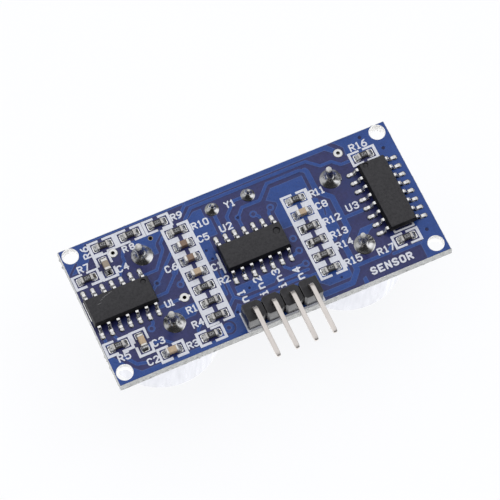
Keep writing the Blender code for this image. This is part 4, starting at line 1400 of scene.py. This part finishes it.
def build_lead(node, radius, joint_node, joint_radius, joint_height, lean, seed):
    """A lead above its solder joint, its end nipped off at a slant."""
    low, high = node_box(node)
    x, y = middle(joint_node)[:2]
    top = high.z
    bm = bmesh.new()
    profile = [
        (low.z, 1.0, 0.0), (0.0, 1.0, 0.0), (top * 0.5, 1.0, 0.0), (top - 0.12, 1.03, SLANT),
        (top - 0.03, 0.97, SLANT), (top, 0.8, SLANT),
    ]
    rings = []
    for z, size, slant in profile:
        shift = lean * max(0.0, z / top)
        rings.append(
            [
                (x + shift + px, y + py, z - slant * (radius - (0.45 * px + 0.89 * py)))
                for px, py in circle(radius * size, LEAD_STEPS)
            ]
        )
    loft(bm, rings)
    bm.normal_update()
    for face in bm.faces:
        face.material_index = int(face.normal.z > 0.3)
    make_piece(f"{node}_tinned", bm, [STUB_SIDE, CUT_TIN], [node])
    joint = bmesh.new()
    share = joint_height / top
    solder_cone(joint, x, y, joint_radius, joint_height, radius * 1.05, seed, lean * share / joint_height)
    make_piece(f"{joint_node}_cone", joint, [SOLDER], [joint_node], smooth=60)


# ---------------------------------------------------------------- transducers


def build_can(kind):
    low, high = node_box(f"{kind}_case")
    x, y = middle(f"{kind}_case")[:2]
    outer = (high.x - low.x) / 2
    inner, lip, lip_thick = outer - 0.5, outer - 1.6, 0.45
    tall = high.z - low.z
    nose = 0.55
    profile = [(lip + 0.08, 0.0)]
    for step in range(7):
        angle = pi / 2 * step / 6
        profile.append((outer - nose + nose * sin(angle), nose * (1 - cos(angle))))
    profile += [
        (outer, 3.0), (outer, 6.0), (outer, 9.0), (outer - 0.01, tall - 1.0), (outer - 0.1, tall - 0.85),
        (outer - 0.1, tall - 0.6), (outer - 0.01, tall - 0.45), (outer, tall - 0.1), (outer - 0.08, tall),
        (inner, tall), (inner, tall * 0.5), (inner, lip_thick), (lip + 0.08, lip_thick), (lip, 0.32),
        (lip, 0.12),
    ]
    bm = bmesh.new()
    turned(bm, profile, (x, y, low.z), 96, closed=True)
    make_piece(f"{kind}_can", bm, [DRAWN_ALUMINIUM], [f"{kind}_case"], smooth=30)
    return x, y


def build_screen(kind, x, y):
    """Woven wire cloth: each wire passes over one crossing wire and under the next."""
    low, high = node_box(f"{kind}_screen")
    level = (low.z + high.z) / 2
    reach = (high.x - low.x) / 2 - 0.2
    pitch, wire, wave = 0.72, 0.1, 0.09
    count = int(reach / pitch)
    section = circle(wire, 6)
    bm = bmesh.new()
    for number in range(-count, count + 1):
        offset = number * pitch
        half = sqrt(reach**2 - offset**2)
        steps = max(4, int(2 * half / pitch * 4))
        for crossing in (False, True):
            path = []
            for step in range(steps + 1):
                along = -half + 2 * half * step / steps
                phase = pi * (along / pitch + number + (1 if crossing else 0))
                z = level + wave * cos(phase)
                path.append((x + offset, y + along, z) if crossing else (x + along, y + offset, z))
            side = Vector((1, 0, 0)) if crossing else Vector((0, 1, 0))
            sweep(bm, path, section, side)
    make_piece(f"{kind}_wire_cloth", bm, [WIRE], [f"{kind}_screen"], smooth=80)


def build_cone(kind, x, y):
    low, high = node_box(f"{kind}_cone")
    rim = (high.x - low.x) / 2
    tall = high.z - low.z
    wall = 0.12
    outer, inner = [], []
    for step in range(9):
        share = step / 8
        radius = rim - (rim - 1.2) * (share**0.8)
        outer.append((radius, share * (tall - 0.25)))
        inner.append((radius - wall, share * (tall - 0.25) - 0.02))
    profile = [
        (rim - wall, 0.0), (rim + 0.02, 0.0), *outer[1:], (1.15, tall), (0.6, tall), (0.6, tall - 0.2),
        (0.9, tall - 0.3), *inner[:0:-1],
    ]
    bm = bmesh.new()
    turned(bm, profile, (x, y, low.z), 64, closed=True)
    make_piece(f"{kind}_spun_cone", bm, [SPUN_ALUMINIUM], [f"{kind}_cone"])


# Thickness of each terminal's end, height of its joint and lean of its end.
TERMINALS = {
    "receiver": [(0.84, 0.95, -0.4), (0.9, 1.05, -0.45)],
    "transmitter": [(0.72, 0.85, -0.4), (0.8, 0.95, -0.4)],
}


def build_transducer(kind, seed):
    x, y = build_can(kind)
    build_screen(kind, x, y)
    build_cone(kind, x, y)
    for number, (thick, joint_height, lean) in enumerate(TERMINALS[kind], start=1):
        build_lead(
            f"{kind}_terminal_{number}", thick / 2, f"{kind}_solder_{number}", 1.4, joint_height, lean,
            seed + number,
        )
    for node, material in (("base", BASE_PLASTIC), ("piezo_disc", PIEZO), ("metal_plate", BRASS)):
        dress(f"{kind}_{node}", material)


def dress(node, material):
    """Gives a CAD node that stays its finish."""
    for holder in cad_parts[node].material_slots:
        holder.material = material


# ---------------------------------------------------------------- crystal


def build_crystal():
    low, high = node_box("crystal_can")
    centre = (low + high) / 2
    length, width = high.x - low.x, high.y - low.y
    flange, reach, nose = 0.4, 0.35, 0.45
    levels = []
    for step in range(6):
        angle = pi / 2 * step / 5
        levels.append((reach + nose * (1 - sin(angle)), low.z + nose * (1 - cos(angle))))
    rim = high.z - flange
    levels += [
        (reach, rim - 0.18), (reach - 0.03, rim - 0.06), (reach - 0.12, rim), (0.04, rim),
        (0.0, rim + 0.05), (0.0, high.z - 0.06), (0.06, high.z),
    ]
    rings = []
    for inward, z in levels:
        across = width - 2 * inward
        outline = rounded_rect(length - 2 * inward, across, across / 2 - 0.02, 10)
        rings.append(at_height([(centre.x + x, centre.y + y) for x, y in outline], z))
    bm = bmesh.new()
    loft(bm, rings)
    make_piece("crystal_shell", bm, [STEEL], ["crystal_can"], smooth=30)
    for number in (1, 2):
        build_lead(
            f"crystal_lead_{number}", 0.22, f"crystal_solder_{number}", 0.92, 0.62, 0.1, number * 5.0
        )
    dress("crystal_base", STEEL)
    dress("crystal_quartz_blank", QUARTZ)


# ---------------------------------------------------------------- studio

CAMERA_SPOT = (-63.48, -124.72, 308.11)
CAMERA_TARGET = (-0.55, 0.32, 0.0)
CAMERA_ROLL = 2.331
CAMERA_LENS = 194.43
CEILING_WAY = (0.1, 0.35, 0.93)
CEILING = 1.6
SIDE_WAY = (0.893, -0.45, 0.0)
SIDES = 1.5
LEFT_SHARE = 0.5
FRONT_WALL = 0.03
BACK_WALL = 0.1
CEILING_START, CEILING_FULL = cos(radians(50)), cos(radians(35))
SKY_COLOUR = (0.975, 0.98, 1.0, 1.0)
SKY_SEEN = 0.98
TABLE_SEEN = 0.9
TABLE_COLOUR = (0.985, 0.99, 1.0, 1.0)
TABLE_GLOW = 1.65
TABLE_DIM = 0.3


def board_point(spot):
    return TO_FRAME @ Vector(spot)


def build_camera():
    camera = bpy.data.cameras.new("camera")
    camera.lens = CAMERA_LENS
    camera.sensor_width = 36
    camera.clip_start = 0.01
    camera.clip_end = 20
    holder = bpy.data.objects.new("camera", camera)
    spot = board_point(CAMERA_SPOT)
    aim = (board_point(CAMERA_TARGET) - spot).to_track_quat("-Z", "Y").to_matrix().to_4x4()
    holder.matrix_world = Matrix.Translation(spot) @ aim @ Matrix.Rotation(radians(CAMERA_ROLL), 4, "Z")
    bpy.context.scene.collection.objects.link(holder)
    bpy.context.scene.camera = holder


def add_softbox(name, spot, size, power, target=(0, 0, 0.012)):
    light = bpy.data.lights.new(name, "AREA")
    light.shape = "SQUARE"
    light.size = size
    light.energy = power
    holder = bpy.data.objects.new(name, light)
    holder.location = spot
    holder.rotation_euler = (Vector(target) - Vector(spot)).to_track_quat("-Z", "Y").to_euler()
    holder.visible_glossy = False
    bpy.context.scene.collection.objects.link(holder)


def link_math(tree, operation, first, second=None):
    node = tree.nodes.new("ShaderNodeMath")
    node.operation = operation
    for socket, value in zip(node.inputs, (first, second)):
        if isinstance(value, bpy.types.NodeSocket):
            tree.links.new(value, socket)
        elif value is not None:
            socket.default_value = value
    return node.outputs[0]


def link_vector(tree, operation, value, other=EVEN):
    """A vector's length, or its dot product with another."""
    node = tree.nodes.new("ShaderNodeVectorMath")
    node.operation = operation
    node.inputs[1].default_value = other
    tree.links.new(value, node.inputs[0])
    return node.outputs["Value"]


def build_world():
    """A bright ceiling and pale sides; dark towards the front and dim towards the back."""
    world = bpy.data.worlds.new("studio")
    bpy.context.scene.world = world
    world.use_nodes = True
    tree = world.node_tree
    background = tree.nodes["Background"]
    direction = tree.nodes.new("ShaderNodeTexCoord").outputs["Generated"]
    split = tree.nodes.new("ShaderNodeSeparateXYZ")
    tree.links.new(direction, split.inputs[0])
    toward = link_vector(tree, "DOT_PRODUCT", direction, CEILING_WAY)
    ceiling = link_range(tree, toward, CEILING_START, CEILING_FULL, 0, CEILING)
    beside = link_vector(tree, "DOT_PRODUCT", direction, SIDE_WAY)
    across = link_math(tree, "ABSOLUTE", beside)
    raised = link_range(tree, split.outputs["Z"], 0.02, 0.1, 0, SIDES)
    behind = link_range(tree, split.outputs["Y"], 0.6, 0.85, 0, 0.6)
    around = link_math(tree, "MAXIMUM", link_range(tree, across, 0.74, 0.87, 0, 1), behind)
    uneven = link_range(tree, beside, -0.3, 0.3, LEFT_SHARE, 1)
    sides = link_math(tree, "MULTIPLY", link_math(tree, "MULTIPLY", around, uneven), raised)
    walls = link_range(tree, split.outputs["Y"], -0.3, 0.6, FRONT_WALL, BACK_WALL)
    level = link_math(tree, "MAXIMUM", link_math(tree, "MAXIMUM", ceiling, sides), walls)
    seen = tree.nodes.new("ShaderNodeLightPath").outputs["Is Camera Ray"]
    strength = link_math(tree, "MAXIMUM", level, link_math(tree, "MULTIPLY", seen, SKY_SEEN))
    background.inputs["Color"].default_value = SKY_COLOUR
    tree.links.new(strength, background.inputs["Strength"])


def build_floor():
    """A glowing table top, clear from below."""
    bm = bmesh.new()
    bmesh.ops.create_grid(bm, x_segments=8, y_segments=8, size=1.5)
    mesh = bpy.data.meshes.new("floor")
    bm.to_mesh(mesh)
    bm.free()
    floor = bpy.data.objects.new("floor", mesh)
    material = surface("pale_floor", (0.1, 0.1, 0.104), 0.9, mottle=0.02, grain=30, bump=0.0)
    tree = material.node_tree
    shader = tree.nodes["Principled BSDF"]
    shader.inputs["Specular IOR Level"].default_value = 0.0
    shader.inputs["Emission Color"].default_value = TABLE_COLOUR
    place = tree.nodes.new("ShaderNodeTexCoord").outputs["Object"]
    reach = link_vector(tree, "LENGTH", place)
    fading = link_range(tree, reach, 0.15, 0.3, TABLE_GLOW, TABLE_DIM)
    seen = tree.nodes.new("ShaderNodeLightPath").outputs["Is Camera Ray"]
    unseen = link_math(tree, "MULTIPLY", link_math(tree, "SUBTRACT", 1.0, seen), fading)
    glow = link_math(tree, "ADD", unseen, link_math(tree, "MULTIPLY", seen, TABLE_SEEN))
    tree.links.new(glow, shader.inputs["Emission Strength"])
    clear = tree.nodes.new("ShaderNodeBsdfTransparent")
    either = tree.nodes.new("ShaderNodeMixShader")
    below = tree.nodes.new("ShaderNodeNewGeometry").outputs["Backfacing"]
    tree.links.new(below, either.inputs[0])
    tree.links.new(shader.outputs["BSDF"], either.inputs[1])
    tree.links.new(clear.outputs["BSDF"], either.inputs[2])
    output = tree.nodes["Material Output"]
    tree.links.new(either.outputs[0], output.inputs["Surface"])
    mesh.materials.append(material)
    bpy.context.scene.collection.objects.link(floor)


# ---------------------------------------------------------------- assembly

build_camera()
build_world()
build_floor()
add_softbox("left_softbox", (-0.4, -0.1, 0.5), 0.3, 0.7)
add_softbox("right_softbox", (0.42, 0.0, 0.5), 0.3, 0.6)
bpy.context.scene.view_settings.view_transform = "Standard"

build_core()
build_hole_rings()
build_masks()
build_ring_pads()
rear_legend()
front_legend()
build_chip("amplifier_chip", 7, False, (3.48, 1.1, 0.35, 0.17))
build_scuffs("amplifier_chip")
build_tie_bar("amplifier_chip")
build_chip("controller_chip", 7, False, (3.38, 0.66, 0.48, 0.21))
build_chip("driver_chip", 8, True, (4.35, 0.95, 0.36, 0.15))
build_chip_parts()
build_header()
build_transducer("receiver", 1.0)
build_transducer("transmitter", 4.0)
build_crystal()
